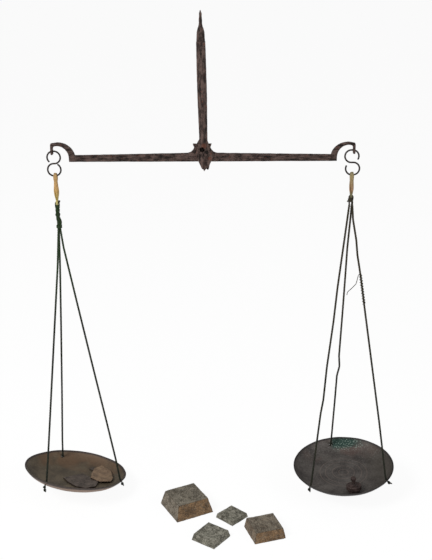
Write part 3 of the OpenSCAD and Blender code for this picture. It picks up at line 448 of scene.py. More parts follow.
def eye_loop(hand):
    """The cord that passes through the eye of a thong: up, over and down again."""
    x, z = HANG_X[hand], EYE_Z[hand]
    turns = [a * math.pi / 10 for a in range(11)]
    arch = [(EYE_R * math.cos(a), EYE_R * math.sin(a) - EYE_R) for a in turns]
    line = [(1.5, -5.4), (EYE_R, -3.6)] + arch + [(-EYE_R, -3.6), (-1.5, -5.4)]
    return in_metres([(x + sideways, 0, z + height) for sideways, height in line])


print("heights of the eyes in mm:", EYE_Z)

# %% Left bundle
# Where the middle of the bundle is across, by its depth under the eye
BUNDLE_BENDS = [
    (3.4, -147.9), (6, -147.85), (10.3, -147.9), (14, -148.0), (18, -147.6), (22, -147.15), (28, -147.35)
]
BUNDLE_TOP, BUNDLE_RUN, BUNDLE_TURNS = -3.4, 24.2, 1.3
# Each binding: its radius, top, foot and turns
BINDINGS = [(1.85, -3.6, -6.2, 2.4), (1.95, -12.6, -14.2, 1.5), (2.3, -24.6, -27.2, 3.2)]
# The bulge: heights, and how far it stands to the right there
BULGE = [(-15, 0.8), (-17.5, 1.9), (-20, 2.5), (-22.5, 2.4), (-24.5, 1.2)]


def bundle_middle(z):
    """The middle of the bundle at a height below the eye, in metres."""
    return Vector((read_off(BUNDLE_BENDS, -z), 0.0, EYE_Z["left"] + z)) * MM


bundle_lines = laid(eye_loop("left"), 0.7, 3.6)
for k in range(4):
    core = []
    for i in range(80):
        turn = math.pi * (k / 2 + 2 * BUNDLE_TURNS * i / 79)
        core.append(bundle_middle(BUNDLE_TOP - BUNDLE_RUN * i / 79) + level_way(turn) * 1.28 * MM)
    bundle_lines += laid(core, 1.02, 4.8, start=k)
bulge = [bundle_middle(z) + Vector((x, -0.8, 0.0)) * MM for z, x in BULGE]
bundle_lines += laid(bulge, 0.85, 4.0, easing=30)
for radius, top, foot, turns in BINDINGS:
    bundle_lines += laid(ring_of_turns(bundle_middle, radius, top, foot, turns), 0.72, 3.6)
bundle = swept("bound_bundle_left", bundle_lines, 6)
corded["left"].append(belongs(bundle, "left_pan", "cord_bundle_left"))
print("bundle lines:", len(bundle_lines))

# %% [markdown]
# The knot above the right pan
#
# On the right the cords meet in one fat knot round the thong's eye. Turns of cord and
# an overhand knot give its lumps, and its cut end sticks out to the left. Below it the
# cords leave in two bunches, with a small gap between them. The same helpers as for
# the bundle make it, so both ends of the balance are tied from the same cord.

# %% Right knot
knot_x, knot_z = HANG_X["right"], EYE_Z["right"]
WINDINGS = [(1.55, -1.6, -3.6, 1.8), (1.95, -3.6, -6.6, 2.4)]
CUT_END = [(-0.8, -1.4, -5.0), (-2.8, -1.2, -5.4), (-3.8, -1.1, -6.3)]
# Each leg where it leaves the knot, halfway and at its foot: x and y from the knot
LEGS = [
    [(-1.4, -0.5), (-1.75, -0.8), (-1.6, -0.7)], [(1.0, 1.0), (1.2, 1.1), (1.0, 1.1)],
    [(1.2, -0.2), (1.45, -0.5), (1.5, -0.6)], [(1.3, 0.4), (1.3, 0.3), (1.3, 0.2)],
]
LEG_HEIGHTS = (-4.6, -7.4, -10.3)


def by_knot(points):
    """Points measured from the thong's eye, in metres."""
    return in_metres([(knot_x + x, y, knot_z + z) for x, y, z in points])


def knot_middle(z):
    """The upright line through the right knot, at a height below the eye, in metres."""
    return Vector((knot_x - 0.4, 0.0, knot_z + z)) * MM


knot_lines = laid(eye_loop("right"), 0.75, 3.6)
for radius, top, foot, turns in WINDINGS:
    knot_lines += laid(ring_of_turns(knot_middle, radius, top, foot, turns), 0.85, 3.8)
lump = overhand(knot_middle(-5.4), DOWN, TO_RIGHT, 1.2 * MM, 1.5 * MM)
knot_lines += laid(lump, 0.85, 3.8, 0.25, 3)
knot_lines += laid(by_knot(CUT_END), 0.8, 3.6, 0.25, 4)
for leg in LEGS:
    leg = by_knot([(x, y, z) for (x, y), z in zip(leg, LEG_HEIGHTS)])
    knot_lines += laid(leg, 0.9, CORD_LAY, easing=6)
right_knot = swept("head_knot_right", knot_lines, 6)
corded["right"].append(belongs(right_knot, "right_pan", "cord_knot_right"))
print("knot lines:", len(knot_lines))

# %% [markdown]
# The leather thongs
#
# A thong is one strip of leather, laid over the hook's wire with its flat side. Below
# the wire its two halves lie face to face, one in front of the other, and turn by a
# quarter down to the eye. A curve could be bevelled with a flat section, but it turns
# that section by its own rules. So a strip starts at the eye as an oval face, and each
# step up draws it out, turns it and resizes it.

# %% Drawing a strip
STRIP_HALF_WIDTH, STRIP_HALF_DEPTH = 2.1, 0.86


def drawn_out(bm, rim):
    """Extrudes the open end of a tube and gives the new end's points and edges."""
    drawn = bmesh.ops.extrude_edge_only(bm, edges=rim)["geom"]
    verts = [g for g in drawn if isinstance(g, bmesh.types.BMVert)]
    edges = [g for g in drawn if isinstance(g, bmesh.types.BMEdge)]
    return verts, [e for e in edges if all(v in verts for v in e.verts)]


def strip(name, line):
    """A flat strip drawn through places of (point, turn about the upright, size)."""
    bm = bmesh.new()
    bmesh.ops.create_circle(bm, cap_ends=True, segments=16, radius=1.0)
    oval_shape = Matrix.Diagonal((STRIP_HALF_WIDTH * MM, STRIP_HALF_DEPTH * MM, MM, 1.0))
    verts, rim, last = list(bm.verts), list(bm.edges), Matrix.Identity(4)
    for i, (point, turn, size) in enumerate(line):
        if i:
            verts, rim = drawn_out(bm, rim)
        turned = Matrix.Rotation(turn, 4, "Z") @ Matrix.Scale(size, 4) @ oval_shape
        place = Matrix.Translation(point) @ turned
        bmesh.ops.transform(bm, matrix=place @ last.inverted(), verts=verts)
        last = place
    bmesh.ops.contextual_create(bm, geom=rim)
    bmesh.ops.recalc_face_normals(bm, faces=bm.faces)
    for face in bm.faces:
        face.smooth = len(face.verts) == 4
    return piece_from(bm, name)


print("strip in mm:", 2 * STRIP_HALF_WIDTH, "by", 2 * STRIP_HALF_DEPTH)

# %% Lines of a thong
# Each strip's size at shares of its length, counted from the foot
STRIP_SIZES = {
    "left": [(0, 0.74), (0.14, 1.0), (0.29, 1.17), (0.49, 1.14), (0.68, 0.96), (0.88, 0.88), (1, 0.94)],
    "right": [(0, 1.0), (0.25, 1.2), (0.575, 0.97), (0.775, 0.88), (1, 0.9)],
}
# The ends of the strap over the wire: depth, height and width
STRAP_END = [(1.4, -4.6, 0.93), (1.65, -2.8, 0.97), (1.74, -1.4, 1.0)]
EYE_HALF_HEIGHT, EYE_LEATHER_R = 2.1, 1.15
# The strips: places, distances from the eye and from the wire, and how far they wander
STRIP_PLACES, STRIP_FOOT, STRIP_TOP, STRIP_WANDER = 90, 1.6, 3.4, 0.16


def strap_line(hand):
    """The strap over the wire: a pointed arch, narrower at its crown, and two ends."""
    x, wire_z = HANG_X[hand], WIRE_Z[hand]
    turns = [a * math.pi / 12 for a in range(13)]
    arch = [(1.75 * math.cos(a), 2.6 * math.sin(a), 1 - 0.3 * math.sin(a)) for a in turns]
    rear_end = [(-y, z, size) for y, z, size in reversed(STRAP_END)]
    line = STRAP_END + arch + rear_end
    return [(Vector((x, y, wire_z + z)) * MM, MM * size) for y, z, size in line]


def strip_line(hand, way):
    """One of the two strips from the eye up; way is -1 for the front one and 1 for the rear."""
    foot_z, top_z = EYE_Z[hand] + STRIP_FOOT, WIRE_Z[hand] - STRIP_TOP
    line = []
    for i in range(STRIP_PLACES):
        share = i / (STRIP_PLACES - 1)
        turn = math.radians(90) * (1 - share)
        size = read_off(STRIP_SIZES[hand], share)
        wander = STRIP_WANDER * math.sin(6 * share + way) * (1 - share)
        offset = Vector((-math.sin(turn), math.cos(turn), 0.0)) * STRIP_HALF_DEPTH * size * way
        x, z = HANG_X[hand] + offset.x + wander, foot_z + (top_z - foot_z) * share
        line.append((Vector((x, offset.y, z)) * MM, turn, size))
    return line


def eye_line(hand):
    """The ring of leather round the eye."""
    x, z = HANG_X[hand], EYE_Z[hand] - 0.3
    turns = [a * math.pi / 12 for a in range(25)]
    ring = [(x, EYE_R * math.cos(a), z + EYE_HALF_HEIGHT * math.sin(a)) for a in turns]
    return [(p, EYE_LEATHER_R * MM) for p in in_metres(ring)]


def strap_section(width, depth):
    """A flat oval that the strap is drawn with."""
    curve = bpy.data.curves.new("strap_section", "CURVE")
    curve.dimensions = "2D"
    spline = curve.splines.new("POLY")
    spline.points.add(15)
    for k, point in enumerate(spline.points):
        turn = 2 * math.pi * k / 16
        squared = 1.12 - 0.12 * abs(math.cos(2 * turn))
        point.co = (width * squared * math.cos(turn), depth * squared * math.sin(turn), 0.0, 1.0)
    spline.use_cyclic_u = True
    return linked("strap_section", curve)


print("places on a strip:", STRIP_PLACES)

# %% Thongs
LEATHER_SLOTS = {"left": "tan_leather", "right": "olive_leather"}
flat_oval = strap_section(2.05, 0.6)
leather = {}
for hand, slot in LEATHER_SLOTS.items():
    parts = [swept("strap_" + hand, [strap_line(hand)], section=flat_oval)]
    parts += [strip("strip_" + hand, strip_line(hand, way)) for way in (-1, 1)]
    parts.append(swept("eye_" + hand, [eye_line(hand)], 12))
    merged = bmesh.new()
    for part in parts:
        merged.from_mesh(part.data)
        bpy.data.objects.remove(part)
    thong = piece_from(merged, "leather_thong_" + hand)
    leather[hand] = belongs(thong, hand + "_thong", "thong_" + hand)
    print("thong", hand, "faces:", len(thong.data.polygons))
bpy.data.objects.remove(flat_oval)

# %% [markdown]
# The strip's cut end on the left is pulled through itself beside the eye. It shows as
# a small dark ball, and the overhand knot's line gives it its creases.

# %% Knotted end of the left thong
ball_at = Vector((HANG_X["left"] + 2.2, -0.4, EYE_Z["left"] + 0.6)) * MM
bead_line = evenly(overhand(ball_at, DOWN, TO_RIGHT, 0.6 * MM, 0.55 * MM), 0.2 * MM, 3)
bead = swept("thong_end_left", [[(p, 0.75 * MM) for p in bead_line]], 10)
belongs(bead, "left_thong")
print("thong end faces:", len(bead.data.polygons))

# %% [markdown]
# The S hooks
#
# Each hook is a length of round iron wire bent to an S by hand. A bevelled curve would
# do too, but spinning is nearer to the bending: a circle is spun about the middle of
# the first bend, then about the next, and drawn straight between them. The two ends
# are cut and filed, so they close with a small bevelled face.

# %% Bending wire
WIRE_R, RING_R = 0.85, 6.25
BEAM_EYE = Vector((149.9, 0.0, -131.15))
FILED_LENGTH, FILED_SHARE = 0.45, 0.7
BEND_STEP, UNEVEN, UNEVEN_SIZE = 7, 0.05, 2.5


def run_on(bm, ring, step):
    """Draws the open end of a wire out in a straight line and gives the new end."""
    edges = [g for g in ring if isinstance(g, bmesh.types.BMEdge)]
    verts, rim = drawn_out(bm, edges)
    bmesh.ops.translate(bm, verts=verts, vec=step)
    return verts + rim


def filed(bm, ring, heading, middle):
    """Draws the open end a little further and narrows it, as a file leaves it."""
    step = heading * FILED_LENGTH
    ring = run_on(bm, ring, step)
    verts = [g for g in ring if isinstance(g, bmesh.types.BMVert)]
    around = Matrix.Translation(-(middle + step))
    bmesh.ops.scale(bm, verts=verts, vec=(FILED_SHARE,) * 3, space=around)


def end_of_bend(middle, degrees):
    """Where a ring ends at an angle above the level, and which way its wire runs there."""
    angle = math.radians(degrees)
    at = middle + Vector((math.cos(angle), 0.0, math.sin(angle))) * RING_R
    return at, Vector((-math.sin(angle), 0.0, math.cos(angle)))


print("ring across in mm:", 2 * RING_R)

# %% Hooks
def s_hook(name, upper_x, lower_x, straight, upper_open, lower_open, mirrored):
    """An S of wire for the right end of the beam, or mirrored for the left."""
    half = Vector((straight / 2, 0.0, 0.0))
    drop = math.sqrt(RING_R ** 2 - (upper_x - straight / 2) ** 2)
    upper = BEAM_EYE + Vector((-upper_x, 0.0, -drop))
    lower = BEAM_EYE + Vector((-lower_x, 0.0, -drop - 2 * RING_R))
    flat_run = Vector((-straight, 0.0, 0.0))
    middle_run = Vector((lower.x + straight - upper.x, 0.0, 0.0))
    free_end, heading = end_of_bend(upper + half, upper_open)
    bm = bmesh.new()
    facing = heading.to_track_quat("Z", "Y").to_matrix().to_4x4()
    place = Matrix.Translation(free_end) @ facing
    bmesh.ops.create_circle(bm, cap_ends=False, segments=16, radius=WIRE_R, matrix=place)
    first = bm.verts[:] + bm.edges[:]
    ring = first
    for centre, degrees, way, run in (
        (upper + half, 90 - upper_open, -1, flat_run),
        (upper + half + flat_run, 180, -1, middle_run),
        (lower + half, 180, 1, flat_run),
        (lower - half, 270 - lower_open, 1, None),
    ):
        ring = bmesh.ops.spin(
            bm, geom=ring, cent=centre, axis=(0.0, way, 0.0), angle=math.radians(degrees),
            steps=max(6, round(degrees / BEND_STEP)), use_merge=False, use_duplicate=False,
        )["geom_last"]
        if run:
            ring = run_on(bm, ring, run)
    last_end, last_heading = end_of_bend(lower - half, lower_open)
    filed(bm, ring, -last_heading, last_end)
    filed(bm, first, -heading, free_end)
    bmesh.ops.holes_fill(bm, edges=[e for e in bm.edges if e.is_boundary], sides=0)
    for v in bm.verts:
        v.co *= MM
        here = v.co * (1 / (UNEVEN_SIZE * MM))
        bent = Vector((noise.noise(here), 0.0, noise.noise(here + Vector((7, 0, 0)))))
        v.co += UNEVEN * MM * bent
    if mirrored:
        bmesh.ops.scale(bm, verts=bm.verts, vec=(-1.0, 1.0, 1.0))
    bmesh.ops.recalc_face_normals(bm, faces=bm.faces)
    hook = piece_from(bm, name)
    smoothed(hook.data)
    return hook


hooks = {
    "right": s_hook("s_hook_right", 2.0, 1.0, 1.2, -29, 153, False),
    "left": s_hook("s_hook_left", 1.5, 1.4, 0.7, -44, 123, True),
}
for hand, hook in hooks.items():
    belongs(hook, hand + "_hook", "hook_" + hand)
    print("hook", hand, "faces:", len(hook.data.polygons))

# %% [markdown]
# Worn skins for forged, cast and cut pieces
#
# The shears and the beam are forged, the block weights are cast, and the sheets in
# the left pan are cut with shears. What they share is that no edge is sharp any more
# and no face is flat. Bump alone would leave their outlines ruler straight. So a copy
# of the solid gets an even skin of small faces, a few rounds of smoothing wear its
# edges down, and noise pushes the skin in and out: broad for hammer marks, fine for
# pits.

# %% Wearing down a solid
ON_SPOT = 1e-6


def weathered(node, name, slot, skin, rounds, dents, dent_size, pits, pit_size):
    """A worn copy of a solid; skin and sizes are in millimetres."""
    bm = bmesh.new()
    bm.from_mesh(nodes[node].data)
    bmesh.ops.remove_doubles(bm, verts=bm.verts, dist=ON_SPOT)
    piece = piece_from(bm, name)
    remesh = piece.modifiers.new("even_skin", "REMESH")
    remesh.mode, remesh.voxel_size = "VOXEL", skin * MM
    smooth = piece.modifiers.new("worn_edges", "SMOOTH")
    smooth.factor, smooth.iterations = 0.5, rounds
    plain, skinned = piece.data, smoothed(flattened(piece))
    piece.modifiers.clear()
    piece.data = skinned
    bpy.data.meshes.remove(plain)
    skinned.name = name
    normals = [v.normal.copy() for v in skinned.vertices]
    lowest = min(v.co.z for v in nodes[node].data.vertices)
    for v, outward_now in zip(skinned.vertices, normals):
        broad = noise.noise(v.co / (dent_size * MM))
        fine = noise.noise(v.co / (pit_size * MM) + Vector((11.0, 3.0, 5.0)))
        v.co += outward_now * (dents * broad - pits * max(0.0, fine - 0.25)) * MM
        v.co.z = max(v.co.z, lowest)
    print(name, "faces:", len(skinned.polygons))
    return belongs(piece, nodes[node]["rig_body"], node)


# %% Forged, cast and cut pieces
# The solid of each, then the size of its skin's faces, its smoothing rounds, the depth
# and size of its dents, and the depth and size of its pits
FORGED = {
    "forged_head": ("shears_head", (0.22, 4, 0.1, 3.5, 0.2, 1.1)),
    "forged_front_cheek": ("shears_front_cheek", (0.24, 2, 0.12, 4.0, 0.3, 1.2)),
    "forged_rear_cheek": ("shears_rear_cheek", (0.24, 2, 0.12, 4.4, 0.3, 1.3)),
    "forged_beam": ("beam", (0.4, 3, 0.14, 5.0, 0.25, 1.4)),
}
forged = {name: weathered(node, name, "forged_iron", *worn) for name, (node, worn) in FORGED.items()}
BLOCK_SKINS = {"large": 0.36, "medium": 0.32, "thin": 0.26, "small": 0.28}
blocks = {}
for size, skin in BLOCK_SKINS.items():
    worn = (skin, 5, 0.22, 6.0, 0.5, 1.6)
    blocks[size] = weathered("block_weight_" + size, "cast_block_" + size, "grey_bronze", *worn)
sheets = {
    "grey": weathered("grey_sheet", "cut_sheet_grey", "grey_metal", 0.3, 3, 0.14, 5.0, 0.1, 1.2),
    "tan": weathered("tan_sheet", "cut_sheet_tan", "tan_metal", 0.28, 3, 0.12, 6.0, 0.08, 1.2),
    "clip": weathered("small_clipping", "cut_clipping", "grey_metal", 0.2, 2, 0.08, 3.0, 0.05, 0.8),
}

# %% [markdown]
# The pans
#
# A pan is a disc of thin brass, beaten to a shallow dish and turned on a lathe. A
# scaled sphere would give the dish but no even wall. So half of the section, both
# faces and the rounded rim, is spun once round the middle. Then the dish gets the slow
# waves that beating leaves, and its three cord holes are drilled square to the wall.

# %% Pan shapes
PAN_DEPTH, FLOOR_R = 10.4, 35.0
FLOOR_RINGS = [0, 4, 9, 14, 19, 24, 29, 33]
# The rounded rim: places in the wall's thickness, and how far they stand over the wall
RIM_ROUND = [(0.85, 0.25), (0.5, 0.42), (0.15, 0.25)]
PANS = {
    "left": {
        "rim": 55.6, "wall": 0.85, "at": (-146.6, -0.4, -490.543), "lean": (-10.2, 8.8),
        "holes": [(-120, 6.5), (115, 7.5), (-11, 4)], "waves": 0.013,
    },
    "right": {
        "rim": 54.2, "wall": 0.95, "at": (151.0, 0.9, -484.491), "lean": (4.3, -2.5),
        "holes": [(-140, 6), (102, 7.5), (-32, 4)], "waves": 0.057,
    },
}


def hanging(pan):
    """Takes a point of a level pan to its place, with the pan's lean."""
    lean_x, lean_y = (math.radians(a) for a in pan["lean"])
    leaning = Matrix.Rotation(lean_y, 4, "Y") @ Matrix.Rotation(lean_x, 4, "X")
    return Matrix.Translation(Vector(pan["at"]) * MM) @ leaning


print("pans:", list(PANS))

# %% Section and holes of a pan
def wall_arc(pan):
    """How steep a pan's wall is at its rim, and the radius that it is beaten to."""
    slope = 2 * math.atan(PAN_DEPTH / (pan["rim"] - FLOOR_R))
    return slope, (pan["rim"] - FLOOR_R) / math.sin(slope)


def on_wall(pan, depth, angle):
    """A point in a pan's wall, a share of the wall's thickness from its inside."""
    bend = wall_arc(pan)[1]
    radius = bend + depth * pan["wall"]
    return FLOOR_R + radius * math.sin(angle), bend - PAN_DEPTH - radius * math.cos(angle)


def section(pan):
    """Half of a pan's section: under the floor, up the outside, over the rim and back."""
    slope, bend = wall_arc(pan)
    turns = [slope * k / 14 for k in range(15)]
    rim = [(depth, slope + over * pan["wall"] / bend) for depth, over in RIM_ROUND]
    under = [(r, -PAN_DEPTH - pan["wall"]) for r in FLOOR_RINGS]
    line = [(1, a) for a in turns] + rim + [(0, a) for a in turns[::-1]]
    return under + [on_wall(pan, *place) for place in line] + [(r, -PAN_DEPTH) for r in FLOOR_RINGS[::-1]]


def hole_place(pan, bearing, inset):
    """Where a cord hole is in a level pan, and the slope of the wall there."""
    slope, bend = wall_arc(pan)
    at_hole, turn = slope - inset / bend, math.radians(bearing)
    r, z = on_wall(pan, 0.5, at_hole)
    return Vector((r * math.cos(turn), r * math.sin(turn), z)), at_hole


print("points in a pan's section:", len(section(PANS["left"])))

# %% Spinning, beating and drilling a pan
HOLE_R = 1.2
# The waves' two lengths, their height on the floor and at the rim, and the rim's wobble
WAVE_LENGTHS, WAVE_ON_FLOOR, WAVE_AT_RIM, WOBBLE = (19, 9), 0.05, 0.34, 0.004


def spun(outline, steps):
    """A bmesh from an outline of (radius, height) in millimetres, spun once round."""
    bm = bmesh.new()
    verts = [bm.verts.new((r * MM, 0.0, z * MM)) for r, z in outline]
    edges = [bm.edges.new(pair) for pair in zip(verts, verts[1:])]
    bmesh.ops.spin(
        bm, geom=verts + edges, cent=(0, 0, 0), axis=(0, 0, 1), angle=2 * math.pi, steps=steps,
        use_merge=True,
    )
    bmesh.ops.remove_doubles(bm, verts=bm.verts, dist=ON_SPOT)
    return bm


def beaten(bm, pan):
    """Gives a pan its slow waves, which grow towards the rim."""
    long, short = (length * MM for length in WAVE_LENGTHS)
    for v in bm.verts:
        flat = Vector((v.co.x, v.co.y, pan["waves"]))
        share = min(1.0, Vector((v.co.x, v.co.y)).length / (pan["rim"] * MM))
        wave = noise.noise(flat / long) + 0.5 * noise.noise(flat / short)
        v.co.z += (WAVE_ON_FLOOR + WAVE_AT_RIM * share ** 3) * wave * MM
        v.co.xy *= 1 + WOBBLE * share ** 3 * noise.noise(flat.normalized() * 2.3)


def drilled(piece, pan):
    """The mesh of a pan with its cord holes, drilled square to the wall."""
    drills = []
    for bearing, inset in pan["holes"]:
        middle, at_hole = hole_place(pan, bearing, inset)
        bit, r = bmesh.new(), HOLE_R * MM
        bmesh.ops.create_cone(bit, cap_ends=True, segments=24, radius1=r, radius2=r, depth=6 * MM)
        turned = Matrix.Rotation(math.radians(bearing), 4, "Z") @ Matrix.Rotation(-at_hole, 4, "Y")
        bmesh.ops.transform(bit, matrix=Matrix.Translation(middle * MM) @ turned, verts=bit.verts)
        drills.append(piece_from(bit, "drill"))
        cut = piece.modifiers.new("drilled", "BOOLEAN")
        cut.operation, cut.solver, cut.object = "DIFFERENCE", "EXACT", drills[-1]
    mesh = flattened(piece)
    piece.modifiers.clear()
    for drill in drills:
        bpy.data.objects.remove(drill)
    return mesh


print("hole across in mm:", 2 * HOLE_R)

# %% Pans
pans = {}
for hand, pan in PANS.items():
    bm = spun(section(pan), 180)
    bmesh.ops.recalc_face_normals(bm, faces=bm.faces)
    beaten(bm, pan)
    piece = piece_from(bm, "beaten_pan_" + hand)
    piece.data = smoothed(drilled(piece, pan))
    piece.data.name = piece.name
    piece.data.transform(hanging(pan))
    pans[hand] = belongs(piece, hand + "_pan", "pan_" + hand)
    print(piece.name, "faces:", len(piece.data.polygons))

# %% [markdown]
# The turned weight
#
# The small weight in the right pan is turned from bronze: a foot, a wider disc with a
# hollow in its side, a neck and a flattened knob to lift it by. Stacked discs and a
# ball would leave seams, so it is spun as the pans are, from half of its outline, with
# small steps on the corners so that they catch the light. It leans back a little,
# because its foot stands half on the floor and half on the wall.

# %% Turned weight
WEIGHT_OUTLINE = [
    (0, 0), (6.3, 0), (6.6, 0.15), (6.7, 0.5), (6.7, 2.3), (6.85, 2.65), (7.9, 2.95), (8.2, 3.15),
    (8.3, 3.5), (8.1, 4.5), (8.1, 5.5), (8.3, 6.4), (8.2, 6.9), (7.8, 7.2), (6.3, 7.2), (6.1, 7.02),
    (5.8, 7.02), (5.6, 7.2), (2.9, 7.25), (2.3, 7.6), (1.95, 8.2), (1.74, 9.0), (1.74, 10.6),
    (1.85, 11.6), (2.2, 12.4), (2.7, 13.4), (2.9, 14.5), (2.75, 15.6), (2.25, 16.5), (1.5, 17.0),
    (0.7, 17.18), (0, 17.2),
]
WEIGHT_BEARING, WEIGHT_FROM_MIDDLE, WEIGHT_SEAT, WEIGHT_LEAN = -78, 38.1, -9.0, -9.45
WEIGHT_DENTS, WEIGHT_DENT_SIZE = 0.08, 2.5
bm = spun(WEIGHT_OUTLINE, 72)
# The ready made noise_vector is seeded by the clock. Three places in plain noise are the
# same on every run.
for v in bm.verts:
    here = v.co / (WEIGHT_DENT_SIZE * MM)
    v.co += WEIGHT_DENTS * MM * Vector([noise.noise(here + Vector((k, 0, 0))) for k in (0, 7, 14)])
in_pan = (
    Matrix.Rotation(math.radians(WEIGHT_BEARING), 4, "Z")
    @ Matrix.Translation(Vector((WEIGHT_FROM_MIDDLE, 0.0, WEIGHT_SEAT)) * MM)
    @ Matrix.Rotation(math.radians(WEIGHT_LEAN), 4, "Y")
)
bmesh.ops.transform(bm, matrix=hanging(PANS["right"]) @ in_pan, verts=bm.verts)
bmesh.ops.recalc_face_normals(bm, faces=bm.faces)
turned_weight = belongs(piece_from(bm, "turned_weight"), "knob_weight", "knob_weight")
smoothed(turned_weight.data)
print("turned weight faces:", len(turned_weight.data.polygons))

# %% [markdown]
# Writing finishes as sums
#
# A finish is a small network of nodes. Written node by node it is hard to read, so
# two small classes let it be written as sums. A Shade is one socket that can be added
# to, multiplied and so on. A Network makes every other node through one method, and
# holds the few patterns that nearly all the finishes share.

# %% Shades
class Shade:
    """One socket of a network, with the sums that are written on it."""

    def __init__(self, network, socket):
        self.network, self.socket = network, socket

    def sum_of(self, operation, a, b):
        return self.network.node("ShaderNodeMath", {"operation": operation}, {0: a, 1: b})

    def __add__(self, other):
        return self.sum_of("ADD", self, other)

    def __sub__(self, other):
        return self.sum_of("SUBTRACT", self, other)

    def __rsub__(self, other):
        return self.sum_of("SUBTRACT", other, self)

    def __mul__(self, other):
        return self.sum_of("MULTIPLY", self, other)

    def __pow__(self, other):
        return self.sum_of("POWER", self, other)

    __radd__, __rmul__ = __add__, __mul__


def paint(colour):
    """A colour of three values of 0 to 255 as the shader wants it; a shade stays as it is."""
    if isinstance(colour, Shade):
        return colour
    shares = [c / 255 for c in colour]
    return (*(s / 12.92 if s <= 10 / 255 else ((s + 0.055) / 1.055) ** 2.4 for s in shares), 1.0)


print("a middle grey is", round(paint((128, 128, 128))[0], 3))

# %% Networks
class Network:
    """A tree of shader nodes, with the one method that makes them."""

    def __init__(self, tree):
        self.tree = tree

    def node(self, kind, settings, inputs, output=0):
        """One node: its type, its settings, its sockets' values or links, and its output."""
        made = self.tree.nodes.new(kind)
        for name, value in settings.items():
            if name == "stops":
                ramp = made.color_ramp
                while len(ramp.elements) < len(value):
                    ramp.elements.new(0.5)
                for stop, (place, colour) in zip(ramp.elements, value):
                    stop.position, stop.color = place, paint(colour)
            else:
                setattr(made, name, value)
        for name, value in inputs.items():
            if isinstance(value, Shade):
                self.tree.links.new(value.socket, made.inputs[name])
            else:
                made.inputs[name].default_value = value
        return Shade(self, made.outputs[output])

    def show(self, surface, output):
        """Links a surface to the output of the tree."""
        self.tree.links.new(surface.socket, self.tree.nodes[output].inputs["Surface"])


print("networks ready")

# %% Finishes
class Finish(Network):
    """A material with a Principled shader, and the patterns that finishes share."""

    def __init__(self, name, metallic=0.0, **constants):
        self.material = bpy.data.materials.new(name)
        self.material.use_nodes = True
        super().__init__(self.material.node_tree)
        self.shader = self.tree.nodes["Principled BSDF"]
        self.feed(Metallic=metallic, **constants)
        self.here = self.node("ShaderNodeTexCoord", {}, {}, "Object")

    def noise(self, size, detail=4.0, rough=0.6, at=None):
        """Noise from 0 to 1 whose grains are about so many millimetres wide."""
        inputs = {"Vector": at or self.here, "Scale": 1 / (size * MM), "Detail": detail, "Roughness": rough}
        return self.node("ShaderNodeTexNoise", {}, inputs)

    def cells(self, size, feature="F1"):
        """Distance to the middle of cells about so many millimetres wide."""
        inputs = {"Vector": self.here, "Scale": 1 / (size * MM)}
        return self.node("ShaderNodeTexVoronoi", {"feature": feature}, inputs)

    def stretched(self, scale):
        """Places squeezed along each axis, which stretches a pattern along it."""
        return self.node("ShaderNodeMapping", {}, {"Vector": self.here, "Scale": scale})

    def above(self, value, low, high):
        """0 below low, 1 above high, and an eased step between them."""
        inputs = {0: value, 1: low, 2: high, 3: 0.0, 4: 1.0}
        return self.node("ShaderNodeMapRange", {"interpolation_type": "SMOOTHSTEP"}, inputs)

    def below(self, value, low, high):
        """1 below low, 0 above high, and an eased step between them."""
        return 1 - self.above(value, low, high)

    def part(self, axis, of=None):
        """One coordinate of a place, in metres, or of a direction."""
        return self.node("ShaderNodeSeparateXYZ", {}, {0: of or self.here}, axis)

    def facing(self, axis):
        """How far a face looks along an axis, from -1 to 1."""
        return self.part(axis, self.node("ShaderNodeNewGeometry", {}, {}, "Normal"))

    def ridges(self):
        """Above 0.5 on ridges and corners, below 0.5 in hollows."""
        return self.node("ShaderNodeNewGeometry", {}, {}, "Pointiness")

    def blend(self, share, a, b):
        """From colour a to colour b."""
        return self.node("ShaderNodeMix", {"data_type": "RGBA"}, {0: share, 6: paint(a), 7: paint(b)}, 2)

    def mark(self, share, colour):
        """Lays a colour over the finish's colour so far."""
        self.colour = self.blend(share, self.colour, colour)

    def shade(self, darkness, lit):
        """Multiplies the colour by a darkness where it isn't lit."""
        scale = {0: self.colour, "Scale": darkness}
        dark = self.node("ShaderNodeVectorMath", {"operation": "SCALE"}, scale)
        self.colour = self.blend(lit, dark, self.colour)

    def feed(self, **sockets):
        """Sets or links the shader's sockets, such as Base_Color."""
        for name, value in sockets.items():
            socket = self.shader.inputs[name.replace("_", " ")]
            if isinstance(value, Shade):
                self.tree.links.new(value.socket, socket)
            else:
                socket.default_value = value

    def finished(self, roughness, height, depth):
        """Feeds colour, roughness and bumps as deep as so many millimetres."""
        inputs = {"Height": height, "Distance": depth * MM, "Strength": 1.0}
        bumps = self.node("ShaderNodeBump", {}, inputs)
        self.feed(Base_Color=self.colour, Roughness=roughness, Normal=bumps)
        return self

    def on(self, *pieces):
        """Puts the finish on pieces."""
        for piece in pieces:
            piece.data.materials.clear()
            piece.data.materials.append(self.material)


print("finishes ready")

# %% [markdown]
# Forged iron
#
# Old forged iron is dark brown-grey with a dull shine. It was drawn out under the
# hammer, so its grain runs in streaks along each bar. Rust sits in patches, ridges are
# lighter from wear and from a painted highlight, and painted shade makes hollows nearly
# black. One noise would look like stone, so three are mixed: broad, streaked and fine.
# The broad marks are already in the mesh, and the relief only adds scale and pits.

# %% Iron finishes
IRON_DARK, IRON_LIGHT, RUST = (18, 11, 9), (86, 70, 64), (92, 52, 38)
WORN_AND_LIT_IRON, IRON_HOLLOW_SHADE = (118, 100, 93), (16, 11, 9)


